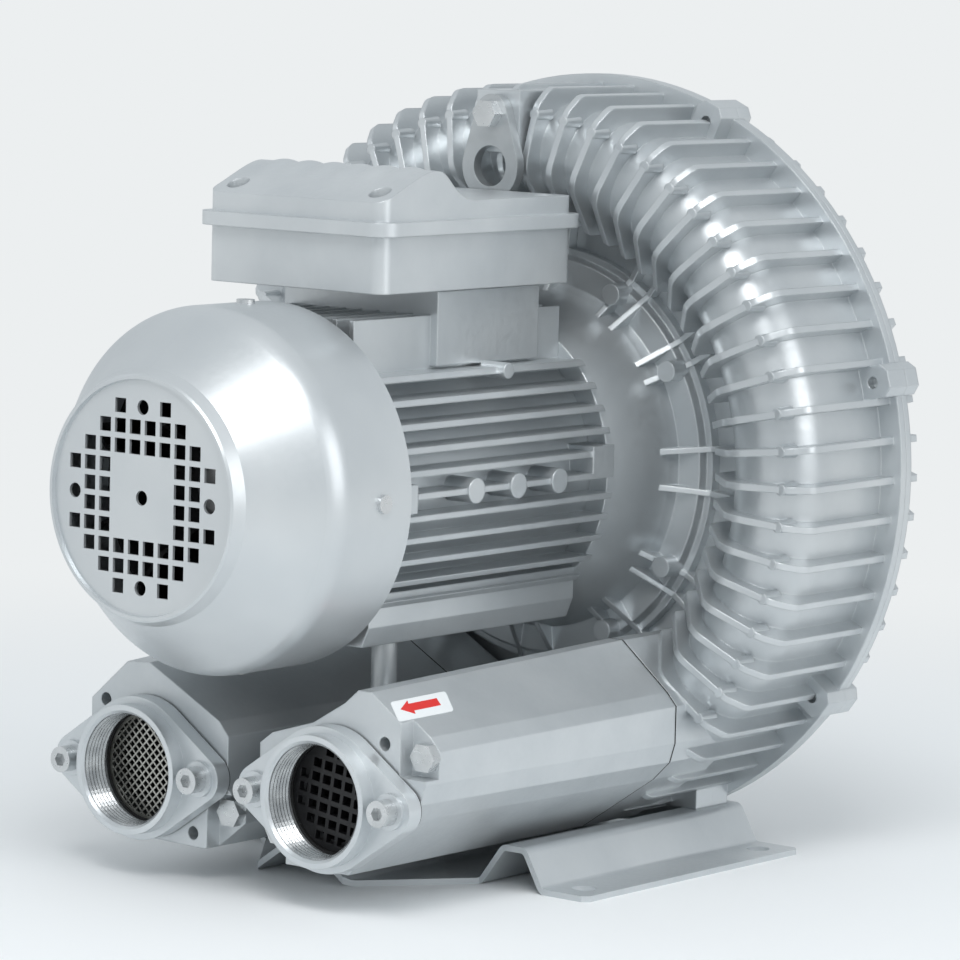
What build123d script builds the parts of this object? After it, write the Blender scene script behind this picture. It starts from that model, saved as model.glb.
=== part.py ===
from build123d import *
import math
import os

# Side channel blower with a flanged motor, twin silencers and a bent base plate.
# Origin: centre of the base plate's four bolt holes, on the floor.
# X runs across the motor, the shaft lies along Y, the fan end and both ports face -Y, Z is up.

# Shaft line
AXIS_HEIGHT = 201.0
SLIP = 0.3                      # gap between pieces that turn against each other
HEAD_ROOM = 0.5                 # space round a sunk screw head

# Base plate, one bent sheet
PLATE_LENGTH = 182.0
PLATE_WIDTH = 277.0
PLATE_THICKNESS = 3.0
HOLE_SPACING_X = 248.0
HOLE_SPACING_Y = 148.0
HOLE_RADIUS = 6.0
PLATE_CORNER_CUT = 3.0
FOOT_INNER_X = 111.0            # where the outer foot starts to rise
CREST_X = 92.5
CREST_HALF_TOP = 7.5
BEND_RADIUS = 2.5               # inside radius of the bends
CREST_HEIGHT = 22.0             # top of the long humps
VALLEY_OUTER_X = 71.0
VALLEY_INNER_X = 31.0
CENTRE_HUMP_TOP_X = 14.0
CENTRE_HUMP_HEIGHT = 15.0
TONGUE_FRONT_Y = -146.0
TONGUE_TIP_X = 28.0
HOUSING_NOTCH_X = 34.0          # half width of the cut-out under the housing
HOUSING_NOTCH_Y = -6.0

# Housing: two castings that meet at a bolted flange round the impeller
PARTING_Y = 88.5
FLANGE_FRONT_Y = 84.0
FLANGE_REAR_Y = 93.0
FLANGE_RADIUS = 198.5
CHANNEL_PITCH_RADIUS = 161.0
CHANNEL_RADIUS = 21.0
CHANNEL_WALL = 4.0
FRONT_CHANNEL_Y = 35.0          # plane of the front side channel's mouth
REAR_CHANNEL_Y = 96.5
INNER_WALL_RADIUS = 133.5
FRONT_HUB_Y = 50.0              # face that carries the motor's flange
HUB_PLATE = 7.0
REAR_HUB_Y = 80.0
HUB_BORE_RADIUS = 24.0

# Cooling fins of the housing, all on one pitch
FIN_COUNT = 60
FIN_THICKNESS = 3.6
FIN_OUTER_RADIUS = 194.0
FIN_FRONT_Y = 5.0
FIN_CORNER = 9.0
FIN_LOWER_RADIUS = 151.0
FIN_LOWER_Y = -1.0
FIN_TIP_RADIUS = 124.0
FIN_TIP_Y = 26.0
FIN_LOWER_ROUND = 14.0
FIN_TIP_ROUND = 3.0
REAR_FIN_CORNER_Y = 105.0
REAR_FIN_BACK_Y = 127.0
REAR_FIN_TIP_Y = 104.0

# Clamping lugs on the housing flange
LUG_ANGLES = (15.0, 66.4, 165.0, 216.4, 323.6)
LUG_WIDTH = 17.0
LUG_INNER_RADIUS = 183.0
LUG_OUTER_RADIUS = 203.0
LUG_FRONT_Y = 73.0
LUG_REAR_Y = 99.0
LUG_CHAMFER = 4.0
LUG_SCREW_RADIUS = 193.0
LUG_SCREW_SHANK = 3.0
LUG_SCREW_HEAD = 5.0
LUG_SCREW_HEAD_HEIGHT = 5.0
LUG_SCREW_SETBACK = 5.0         # how far the screw ends behind the front of the lug

# Cast feet of the housing, on the base plate's humps
FOOT_BLOCK_FRONT_Y = 57.0
FOOT_BLOCK_OUTER_X = 96.0
FOOT_BLOCK_REAR_Y = 84.0
FOOT_BLOCK_WIDTH = 22.0
FOOT_BLOCK_TOP_Z = 70.0
FOOT_BOLT_SHANK = 3.0
FOOT_BOLT_LENGTH = 18.0
FOOT_BOLT_HEAD = 4.62           # corners of an 8 mm hexagon
FOOT_BOLT_HEAD_HEIGHT = 4.0

# Impeller and shaft
IMPELLER_FRONT_Y = 36.0
IMPELLER_REAR_Y = 95.5
IMPELLER_RIM_GAP = 0.8
VANE_COUNT = 36
VANE_THICKNESS = 3.0
GROOVE_RADIUS = 20.0
VANE_ROOT = 0.8                 # how far a vane runs into the disc
WEB_FRONT_Y = 62.0
WEB_REAR_Y = 70.0
IMPELLER_HUB_RADIUS = 34.0
IMPELLER_HUB_FRONT_Y = 59.0
SHAFT_RADIUS = 14.0
SHAFT_BEARING_RADIUS = 15.0
SHAFT_FAN_RADIUS = 11.0
SHAFT_FRONT_Y = -214.0
SHAFT_END_Y = 74.0
KEY_WIDTH = 8.0
KEY_HEIGHT = 7.0
KEY_START_Y = 60.0
CAP_WASHER_RADIUS = 22.0
CAP_WASHER_THICKNESS = 4.0
CAP_BOLT_HEAD = 8.0
CAP_BOLT_HEAD_HEIGHT = 6.5
CAP_BOLT_SHANK = 4.0
CAP_BOLT_LENGTH = 20.0

# Motor
MOTOR_FRONT_Y = -167.0
MOTOR_REAR_Y = -5.0
MOTOR_CORE_RADIUS = 68.0
MOTOR_BORE_RADIUS = 62.0
MOTOR_FIN_RADIUS = 83.0
MOTOR_FIN_PITCH = 11.0
MOTOR_FIN_THICKNESS = 3.0
MOTOR_SIDE_FINS = 11
MOTOR_TOP_FINS = 9
BOSS_SPACING = 33.0
BOSS_CENTRE_Y = -84.0
BOSS_RADIUS = 6.3
BOSS_REACH = 84.5
LEDGE_BOSS_RADIUS = 4.0
LEDGE_BOSS_Y = -71.0
LEDGE_BOSS_REACH = 66.0
FIN_DECK_HALF_WIDTH = 45.5      # the upright fins under the box reach a flat top
FIN_DECK_TOP_Z = 284.0
TAB_LENGTH = 17.0
TAB_HEIGHT = 15.0
DECK_HALF_WIDTH = 50.0
DECK_FRONT_Y = -108.5
DECK_REAR_Y = -28.0
DECK_TOP_Z = 296.0
WEDGE_INNER_X = 38.0
WEDGE_OUTER_X = 59.0
WEDGE_TOP_Z = 151.0
WEDGE_MIDDLE_Z = 135.0
WEDGE_BOTTOM_Z = 125.0
WEDGE_DRAFT = 4.0
STATOR_FRONT_Y = -128.0
STATOR_REAR_Y = -42.0
STATOR_BORE_RADIUS = 36.0
WINDING_LENGTH = 18.0
WINDING_RADIUS = 56.0
ROTOR_RADIUS = 35.4
END_RING_LENGTH = 7.0
BEARING_OUTER_RADIUS = 31.0
BEARING_WIDTH = 16.0
BEARING_RACE = 4.5
BEARING_REAR_Y = 26.0
BEARING_FRONT_Y = -178.0
BALL_COUNT = 9
BALL_RADIUS = 3.3
CAGE_HALF_WIDTH = 4.4

# Drive end bell between motor and housing
BELL_CONE_END_Y = 34.0
BELL_CONE_START_RADIUS = 79.0
BELL_CONE_END_RADIUS = 89.0
BELL_STEP_Y = 40.0
BELL_STEP_RADIUS = 104.0
BELL_RIM_RADIUS = 109.5
BELL_RIM_FRONT_Y = 44.0
BELL_WALL = 5.0
BELL_RIB_THICKNESS = 3.0
BELL_RIB_START_Y = 26.0
BELL_RIB_REACH = 122.0
BELL_RIB_ANGLES = (6.0, 30.0, 37.0, 53.0, 60.0, 84.0)
BELL_SCREW_ANGLES = (30.0, 60.0)
BELL_BOSS_RADIUS = 5.5
BELL_BOSS_CIRCLE = 101.0
BELL_BOSS_FRONT_Y = 31.0
BELL_SCREW_SHANK = 3.0
BELL_SCREW_HEAD = 5.0
BELL_SCREW_HEAD_HEIGHT = 3.5
BELL_SCREW_SETBACK = 4.0
BELL_FACE = 4.0                 # thickness of the plate that the motor sits on

# Fan end shield, cooling fan and fan cover
SHIELD_RADIUS = 80.0
SHIELD_FRONT_Y = -181.0
COVER_RADIUS = 90.0
COVER_REAR_Y = -174.0
COVER_SHOULDER_Y = -226.0
COVER_FRONT_Y = -262.0
COVER_FRONT_RADIUS = 62.0
COVER_SHEET = 1.5
RIM_RADIUS = 59.5
RIM_FRONT_Y = -269.0
GRILLE_FRONT_Y = -267.0
GRILLE_RADIUS = 57.5
GRILLE_PITCH = 9.65
GRILLE_HOLE = 7.0
GRILLE_ROUND_HOLE = 3.6
GRILLE_ROWS = ("...X..X...",
               "..XXXXXX..",
               ".XXXXXXXX.",
               "XXX....XXX",
               ".XX....XX.",
               ".XX....XX.",
               "XXX....XXX",
               ".XXXXXXXX.",
               "..XXXXXX..",
               "...X..X...")
COVER_SCREW_ANGLES = (0.0, 90.0, 180.0, 270.0)
COVER_SCREW_Y = -195.0
COVER_SCREW_SHANK = 2.5
COVER_SCREW_HEAD = 4.5
COVER_SCREW_HEAD_HEIGHT = 1.8
COVER_SCREW_LENGTH = 9.0
FAN_RADIUS = 76.0
FAN_HUB_RADIUS = 20.0
FAN_FRONT_Y = -238.0
FAN_REAR_Y = -206.0
FAN_DISC = 3.0
FAN_BLADES = 9
FAN_BLADE_THICKNESS = 2.4
FAN_CLIP_WIDTH = 1.5

# Terminal box
BOX_HALF_WIDTH = 57.0
BOX_FRONT_Y = -161.0
BOX_REAR_Y = -9.5
BOX_BOTTOM_Z = 297.0
BOX_TOP_Z = 325.0
BOX_WALL = 3.5
BOX_FLOOR = 4.0
BOX_CORNER = 7.0
BOX_GASKET = 1.0
LID_OVERHANG = 5.0
LID_BAND = 7.0
LID_REAR_Z = 341.0
LID_FRONT_Z = 341.5
LID_CREST_Z = 354.5
LID_CREST_Y = -114.0
LID_DROP_Y = -88.0
LID_WALL = 3.0
LID_SCREW_INSET = 11.0
LID_SCREW_SHANK = 2.5
LID_SCREW_HEAD = 4.6
LID_SCREW_HEAD_HEIGHT = 3.0
GLAND_HEIGHT_Z = 313.0
GLAND_RADIUS = 10.5
GLAND_HEX = 23.0
GLAND_HEX_LENGTH = 6.0
GLAND_THREAD_LENGTH = 9.0
TERMINAL_BLOCK_LENGTH = 60.0
TERMINAL_BLOCK_WIDTH = 34.0
TERMINAL_BLOCK_HEIGHT = 9.0
STUD_SPACING = 18.0
STUD_ROW_SPACING = 16.0
STUD_RADIUS = 2.5
STUD_HEIGHT = 12.0

# Silencers, one for each port
PORT_X = 61.2
PORT_Z = 55.0
SILENCER_FRONT_Y = -191.5
SILENCER_REAR_Y = -5.0
SILENCER_BOTTOM_Z = 18.0
SILENCER_SPREAD = 10.0          # how much wider a silencer is at its rear joint
SILENCER_RISE = 8.0             # how much higher its ridge is there
STUB_REAR_Y = 40.0
POCKET_DEPTH = 9.5
POCKET_REACH = 10.0
LINER_RADIUS = 27.0
LINER_BORE = 22.0
LINER_FRONT_Y = -188.0
LINER_REAR_Y = -40.0
SILENCER_BOLT_SHANK = 4.0
SILENCER_BOLT_HEAD = 7.5
SILENCER_BOLT_HEAD_HEIGHT = 5.5
SPARE_HOLE_RADIUS = 3.4
SPARE_HOLE_DEPTH = 14.0
JOINT_GASKET = 1.0

# Port flanges
PORT_FRONT_Y = -210.0
PORT_RING_RADIUS = 32.6
PORT_THREAD_MINOR = 28.33
PORT_CHAMFER = 1.5
PORT_EAR_THICKNESS = 9.0
PORT_SCREW_CIRCLE = 42.5
PORT_EAR_RADIUS = 12.0
PORT_BODY_RADIUS = 36.0
PORT_GASKET = 1.0
PORT_SCREW_SHANK = 4.0
PORT_SCREW_HEAD = 6.5
PORT_SCREW_HEAD_HEIGHT = 8.0
PORT_SCREW_LENGTH = 24.0
SCREEN_THICKNESS = 1.2
SCREEN_WIRES = 15
SCREEN_WIRE = 0.9
SCREEN_RIM = 1.5
INSERT_ROWS = 7
INSERT_PITCH = 7.0
INSERT_HOLE = (5.0, 4.4)
INSERT_TURN = -8.0

# Lifting eye and support post
EYE_FRONT_Y = -8.0
EYE_THICKNESS = 6.0
EYE_BOLT_Z = 380.0
EYE_BOLT_END_RADIUS = 10.0
EYE_HOLE_Z = 353.0
EYE_HOLE_RADIUS = 10.5
EYE_END_RADIUS = 18.0
EYE_BOLT_SHANK = 4.0
EYE_BOLT_HEAD = 7.5
EYE_BOLT_HEAD_HEIGHT = 6.0
EYE_PAD_HALF_WIDTH = 14.0
EYE_PAD_TOP_Z = 392.0
EYE_PAD_BOTTOM_Z = 360.0
POST_X = 41.0
POST_Y = -133.0
POST_RADIUS = 6.5
POST_SEAT_Z = 92.0
POST_SEAT_RIM = 2.5

SHAFT_AXIS = Axis((0, 0, AXIS_HEIGHT), (0, 1, 0))
SECTION = Plane(origin=(0, 0, AXIS_HEIGHT), x_dir=(0, 1, 0), z_dir=(1, 0, 0))


# Small helpers for shapes that lie along or round the shaft
def polygon(points, rounds=()):
    """A flat face through the points, with the named corners rounded."""
    face = make_face(Polyline(*points, close=True))
    for corner, radius in rounds:
        vertex = face.vertices().sort_by_distance(Vector(*corner))[0]
        face = fillet(vertex, radius)
    return face


def turned(points, rounds=()):
    """A ring turned round the shaft from (y, radius) points."""
    return revolve(SECTION * polygon(points, rounds), SHAFT_AXIS, 360)


def turned_face(face):
    """A ring turned round the shaft from a face drawn as (y, radius)."""
    return revolve(SECTION * face, SHAFT_AXIS, 360)


def tube(inner, outer, front_y, rear_y):
    """A plain ring round the shaft."""
    return turned([(front_y, inner), (rear_y, inner), (rear_y, outer), (front_y, outer)])


def slab(face, front_y, rear_y):
    """A face drawn in X and Z, made solid between two planes across the shaft."""
    plane = Plane(origin=(0, rear_y, 0), x_dir=(1, 0, 0), z_dir=(0, -1, 0))
    return extrude(plane * face, amount=rear_y - front_y)


def rod(radius, front_y, rear_y, x=0.0, z=AXIS_HEIGHT):
    """A round bar along Y."""
    return slab(Pos(x, z) * Circle(radius), front_y, rear_y)


def tapered(front_points, rear_points, front_y, rear_y):
    """A solid with flat sides that runs from one outline to another."""
    front = Plane(origin=(0, front_y, 0), x_dir=(1, 0, 0), z_dir=(0, -1, 0)) * polygon(front_points)
    rear = Plane(origin=(0, rear_y, 0), x_dir=(1, 0, 0), z_dir=(0, -1, 0)) * polygon(rear_points)
    return loft([front, rear], ruled=True)


def hex_head(across_corners, front_y, rear_y, x, z):
    """A hexagon bar along Y."""
    return slab(Pos(x, z) * RegularPolygon(across_corners, 6), front_y, rear_y)


def pillar(radius, bottom, top, x, y):
    """A round bar along Z."""
    return Pos(x, y, bottom) * extrude(Circle(radius), amount=top - bottom)


def box_between(x0, x1, y0, y1, z0, z1):
    """A block between six faces."""
    centre = Pos((x0 + x1) / 2, (y0 + y1) / 2, (z0 + z1) / 2)
    return centre * Box(x1 - x0, y1 - y0, z1 - z0)


def at_angle(shape, angle):
    """Turns a shape drawn above the shaft to an angle measured from +X towards +Z."""
    return shape.rotate(SHAFT_AXIS, 90.0 - angle)


def radial_plate(points, thickness, rounds=()):
    """A plate through the shaft line, drawn above it as (y, radius)."""
    return extrude(SECTION * polygon(points, rounds), amount=thickness / 2, both=True)


def on_circle(radius, angle):
    """X and Z of a point at a radius and angle round the shaft."""
    turn = math.radians(angle)
    return radius * math.cos(turn), AXIS_HEIGHT + radius * math.sin(turn)


# Base plate
def offset_line(points, distance):
    """The line shifted to its right by the sheet's thickness, with mitred corners."""
    headings = [math.atan2(b[1] - a[1], b[0] - a[0]) for a, b in zip(points, points[1:])]
    shifted = []
    for index, (x, z) in enumerate(points):
        before = headings[max(index - 1, 0)]
        after = headings[min(index, len(headings) - 1)]
        middle = (before + after) / 2
        length = distance / math.cos((after - before) / 2)
        shifted.append((x + length * math.sin(middle), z - length * math.cos(middle)))
    return shifted


def plate_profile():
    """Section of the bent sheet, drawn from its upper side and given its thickness."""
    half = PLATE_WIDTH / 2
    low = PLATE_THICKNESS
    right = [(CENTRE_HUMP_TOP_X, CENTRE_HUMP_HEIGHT), (VALLEY_INNER_X, low), (VALLEY_OUTER_X, low),
             (CREST_X - CREST_HALF_TOP, CREST_HEIGHT), (CREST_X + CREST_HALF_TOP, CREST_HEIGHT),
             (FOOT_INNER_X, low), (half, low)]
    upper = [(-x, z) for x, z in reversed(right)] + right
    lower = offset_line(upper, PLATE_THICKNESS)
    rounds = []
    for before, here, after, under in zip(upper, upper[1:], upper[2:], lower[1:]):
        turn = (here[0] - before[0]) * (after[1] - here[1]) - (here[1] - before[1]) * (after[0] - here[0])
        inside, outside = (here, under) if turn > 0 else (under, here)
        rounds += [(inside, BEND_RADIUS), (outside, BEND_RADIUS + PLATE_THICKNESS)]
    return polygon(upper + lower[::-1], rounds)


def plate_outline():
    """Plan of the plate: a rectangle with a tapered tongue towards the ports."""
    half_w = PLATE_WIDTH / 2
    half_l = PLATE_LENGTH / 2
    cut = PLATE_CORNER_CUT
    right = [(half_w - cut, half_l), (half_w, half_l - cut), (half_w, -half_l + cut), (half_w - cut, -half_l),
             (VALLEY_OUTER_X, -half_l), (TONGUE_TIP_X, TONGUE_FRONT_Y)]
    left = [(-x, y) for x, y in reversed(right)]
    return right + left


def hole_places():
    """Centres of the four bolt holes."""
    return [(sx * HOLE_SPACING_X / 2, sy * HOLE_SPACING_Y / 2) for sx in (-1, 1) for sy in (-1, 1)]


def make_base_plate():
    sheet = slab(plate_profile(), TONGUE_FRONT_Y, PLATE_LENGTH / 2)
    plan = extrude(polygon(plate_outline()), amount=CREST_HEIGHT)
    plate = sheet & plan
    plate -= box_between(-HOUSING_NOTCH_X, HOUSING_NOTCH_X, HOUSING_NOTCH_Y, PLATE_LENGTH / 2, 0, CREST_HEIGHT)
    for x, y in hole_places():
        plate -= pillar(HOLE_RADIUS, 0, PLATE_THICKNESS, x, y)
    for side in (-1, 1):
        plate -= pillar(FOOT_BOLT_SHANK, 0, CREST_HEIGHT, side * CREST_X, foot_bolt_y())
    return plate


def foot_bolt_y():
    """The foot bolts stand in the middle of the cast feet."""
    return (FOOT_BLOCK_FRONT_Y + FOOT_BLOCK_REAR_Y) / 2


def make_foot_bolts():
    bolts = []
    seat = CREST_HEIGHT - PLATE_THICKNESS
    for side in (-1, 1):
        hexagon = Rot(0, 0, 30) * RegularPolygon(FOOT_BOLT_HEAD, 6)
        head = extrude(hexagon, amount=FOOT_BOLT_HEAD_HEIGHT)
        head = Pos(side * CREST_X, foot_bolt_y(), seat - FOOT_BOLT_HEAD_HEIGHT) * head
        shank = pillar(FOOT_BOLT_SHANK, seat, seat + FOOT_BOLT_LENGTH, side * CREST_X, foot_bolt_y())
        bolts.append(head + shank)
    return bolts


# Housing
def chamber_radius():
    """Bore of the housing round the impeller's rim."""
    return CHANNEL_PITCH_RADIUS + CHANNEL_RADIUS


def channel_face(channel_y, side):
    """Half round side channel in front of (side -1) or behind (side 1) its mouth."""
    ring = Pos(channel_y, CHANNEL_PITCH_RADIUS) * Circle(CHANNEL_RADIUS)
    reach = CHANNEL_RADIUS * 2
    half = Pos(channel_y + side * reach / 2, CHANNEL_PITCH_RADIUS) * Rectangle(reach, reach)
    return ring & half


def dome_face(channel_y, parting_y):
    """Outside of a channel casting: a round nose that runs back to the parting plane."""
    radius = CHANNEL_RADIUS + CHANNEL_WALL
    depth = abs(parting_y - channel_y)
    outward = 1.0 if channel_y > parting_y else -1.0
    window = Pos(channel_y + outward * radius / 2, CHANNEL_PITCH_RADIUS) * Rectangle(radius, 2 * radius)
    nose = (Pos(channel_y, CHANNEL_PITCH_RADIUS) * Circle(radius)) & window
    body = Pos((parting_y + channel_y) / 2, CHANNEL_PITCH_RADIUS) * Rectangle(depth, 2 * radius)
    return nose + body


def front_fin():
    corner = (FIN_FRONT_Y + FIN_CORNER, FIN_OUTER_RADIUS)
    shoulder = (FIN_FRONT_Y, FIN_OUTER_RADIUS - FIN_CORNER)
    low = (FIN_LOWER_Y, FIN_LOWER_RADIUS)
    tip = (FIN_TIP_Y, FIN_TIP_RADIUS)
    outline = [(FLANGE_FRONT_Y, FIN_LOWER_RADIUS), (FLANGE_FRONT_Y, FIN_OUTER_RADIUS), corner, shoulder, low, tip,
               (FRONT_HUB_Y + HUB_PLATE / 2, FIN_TIP_RADIUS)]
    rounds = [(corner, FIN_CORNER), (shoulder, FIN_CORNER), (low, FIN_LOWER_ROUND), (tip, FIN_TIP_ROUND)]
    return radial_plate(outline, FIN_THICKNESS, rounds)


def rear_fin():
    outline = [(FLANGE_REAR_Y, FIN_LOWER_RADIUS), (FLANGE_REAR_Y, FIN_OUTER_RADIUS),
               (REAR_FIN_CORNER_Y, FIN_OUTER_RADIUS), (REAR_FIN_BACK_Y, CHANNEL_PITCH_RADIUS + FIN_CORNER),
               (REAR_FIN_BACK_Y, FIN_LOWER_RADIUS), (REAR_FIN_TIP_Y, FIN_TIP_RADIUS),
               (REAR_HUB_Y + HUB_PLATE / 2, FIN_TIP_RADIUS)]
    return radial_plate(outline, FIN_THICKNESS)


def lug(front_y, rear_y):
    """One clamping lug above the shaft, with its outer corners cut."""
    half = LUG_WIDTH / 2
    low = AXIS_HEIGHT + LUG_INNER_RADIUS
    high = AXIS_HEIGHT + LUG_OUTER_RADIUS
    face = polygon([(-half, low), (half, low), (half, high - LUG_CHAMFER), (half - LUG_CHAMFER, high),
                    (-half + LUG_CHAMFER, high), (-half, high - LUG_CHAMFER)])
    return slab(face, front_y, rear_y)


def lug_hole(radius, front_y, rear_y):
    return rod(radius, front_y, rear_y, 0, AXIS_HEIGHT + LUG_SCREW_RADIUS)


def chamber_cut():
    """Room for the impeller between both hub plates, with the two side channels."""
    rim = tube(INNER_WALL_RADIUS + HUB_PLATE - 2, chamber_radius() + 2, FRONT_CHANNEL_Y, REAR_CHANNEL_Y)
    middle = tube(HUB_BORE_RADIUS, chamber_radius(), FRONT_HUB_Y + HUB_PLATE, REAR_HUB_Y)
    front = turned_face(channel_face(FRONT_CHANNEL_Y, -1))
    rear = turned_face(channel_face(REAR_CHANNEL_Y, 1))
    return rim + middle + front + rear


def foot_block(side):
    """Cast foot that stands on the base plate's hump."""
    outer = side * FOOT_BLOCK_OUTER_X
    inner = outer - side * FOOT_BLOCK_WIDTH
    x0, x1 = sorted((outer, inner))
    return box_between(x0, x1, FOOT_BLOCK_FRONT_Y, FOOT_BLOCK_REAR_Y, CREST_HEIGHT, FOOT_BLOCK_TOP_Z)


def silencer_outline(side, rear=False):
    """Section of a silencer at its front or at its rear joint, where it has grown by the casting's taper."""
    spread = SILENCER_SPREAD if rear else 0.0
    rise = SILENCER_RISE if rear else 0.0
    if side > 0:
        half = [(12.0, 32.0), (12.0, 76.0), (20.0, 82.0), (46.0, 90.0 + rise / 3),
                (66.0 + spread, 102.0 + rise), (74.0 + spread, 109.0 + rise), (82.0 + spread, 109.0 + rise),
                (111.0 + spread, 89.5 + rise / 2), (117.0 + spread, 83.0 + rise / 2), (117.0 + spread, 68.0),
                (114.0 + spread, 58.0), (104.0 + spread, 48.0), (70.0, SILENCER_BOTTOM_Z), (28.0, SILENCER_BOTTOM_Z)]
        return half
    half = [(5.0, 32.0), (5.0, 46.0), (9.0, 50.0), (9.0, 76.0), (15.0, 83.0), (62.0 + spread, 107.0 + rise),
            (77.0 + spread, 106.0 + rise), (101.0 + spread, 85.0 + rise / 2), (101.0 + spread, 52.0),
            (76.0, 19.0), (23.0, SILENCER_BOTTOM_Z), (15.0, 24.0)]
    return [(-x, z) for x, z in half]


def duct_bore(side):
    """Round gas way of a silencer and of its stub on the housing."""
    return side * PORT_X, PORT_Z


def make_housing_front():
    body = turned_face(dome_face(FRONT_CHANNEL_Y, PARTING_Y))
    body += tube(HUB_BORE_RADIUS, INNER_WALL_RADIUS + 1, FRONT_HUB_Y, FRONT_HUB_Y + HUB_PLATE)
    body += tube(INNER_WALL_RADIUS, FLANGE_RADIUS, FLANGE_FRONT_Y, PARTING_Y)
    pieces = [at_angle(front_fin(), index * 360.0 / FIN_COUNT) for index in range(FIN_COUNT)]
    pieces += [at_angle(lug(LUG_FRONT_Y, PARTING_Y), angle) for angle in LUG_ANGLES]
    pieces += [foot_block(side) for side in (-1, 1)]
    for side in (-1, 1):
        pieces.append(slab(polygon(silencer_outline(side, True)), SILENCER_REAR_Y, STUB_REAR_Y))
    pieces.append(box_between(-EYE_PAD_HALF_WIDTH, EYE_PAD_HALF_WIDTH, EYE_FRONT_Y + EYE_THICKNESS, FLANGE_FRONT_Y,
                              EYE_PAD_BOTTOM_Z, EYE_PAD_TOP_Z))
    body = body.fuse(*pieces)
    body -= chamber_cut()
    for side in (-1, 1):
        x, z = duct_bore(side)
        body -= rod(LINER_BORE, SILENCER_REAR_Y, FRONT_CHANNEL_Y, x, z)
        body -= pillar(FOOT_BOLT_SHANK, CREST_HEIGHT, CREST_HEIGHT + FOOT_BOLT_LENGTH, side * CREST_X, foot_bolt_y())
        for x, z in silencer_bolt_places(side):
            body -= rod(SILENCER_BOLT_SHANK, SILENCER_REAR_Y, SILENCER_REAR_Y + 16.0, x, z)
    for angle in LUG_ANGLES:
        body -= at_angle(lug_hole(LUG_SCREW_SHANK, LUG_FRONT_Y, PARTING_Y), angle)
    body -= rod(EYE_BOLT_SHANK, EYE_FRONT_Y, EYE_FRONT_Y + EYE_THICKNESS + 20.0, 0, EYE_BOLT_Z)
    for angle in bell_screw_angles():
        x, z = on_circle(BELL_BOSS_CIRCLE, angle)
        body -= rod(BELL_SCREW_SHANK, FRONT_HUB_Y, FRONT_HUB_Y + HUB_PLATE, x, z)
        body -= rod(BELL_SCREW_HEAD + HEAD_ROOM, bell_screw_seat(), FRONT_HUB_Y + HUB_PLATE, x, z)
    return largest(body)


def largest(shape):
    """The one solid of a shape that may have shed slivers."""
    return max(shape.solids(), key=lambda solid: solid.volume)


def make_housing_rear():
    body = turned_face(dome_face(REAR_CHANNEL_Y, PARTING_Y))
    body += tube(HUB_BORE_RADIUS, INNER_WALL_RADIUS + 1, REAR_HUB_Y, REAR_HUB_Y + HUB_PLATE)
    body += tube(INNER_WALL_RADIUS, FLANGE_RADIUS, PARTING_Y, FLANGE_REAR_Y)
    pieces = [at_angle(rear_fin(), index * 360.0 / FIN_COUNT) for index in range(FIN_COUNT)]
    pieces += [at_angle(lug(PARTING_Y, LUG_REAR_Y), angle) for angle in LUG_ANGLES]
    body = body.fuse(*pieces)
    body += rear_hub_cap()
    body -= chamber_cut()
    for angle in LUG_ANGLES:
        body -= at_angle(lug_hole(LUG_SCREW_SHANK, PARTING_Y, LUG_REAR_Y), angle)
        body -= at_angle(lug_hole(LUG_SCREW_HEAD + HEAD_ROOM, LUG_REAR_Y, REAR_FIN_BACK_Y), angle)
    return largest(body)


def rear_hub_cap():
    """Domed middle of the rear casting, hollow over the impeller's bolt."""
    wall = 6.0
    depth = CAP_BOLT_HEAD_HEIGHT + CAP_WASHER_THICKNESS + 10.0
    outer = tube(0.0001, HUB_BORE_RADIUS + wall + 4.0, REAR_HUB_Y, REAR_HUB_Y + depth)
    inner = tube(0.0001, HUB_BORE_RADIUS, REAR_HUB_Y - 1.0, REAR_HUB_Y + depth - wall)
    return outer - inner


# Drive end bell
def bell_quadrants(angles):
    """The angles of one quadrant, mirrored into all four."""
    return sorted({turn % 360.0 for angle in angles for turn in (angle, 180.0 - angle, 180.0 + angle, -angle)})


def bell_screw_angles():
    return bell_quadrants(BELL_SCREW_ANGLES)


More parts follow.
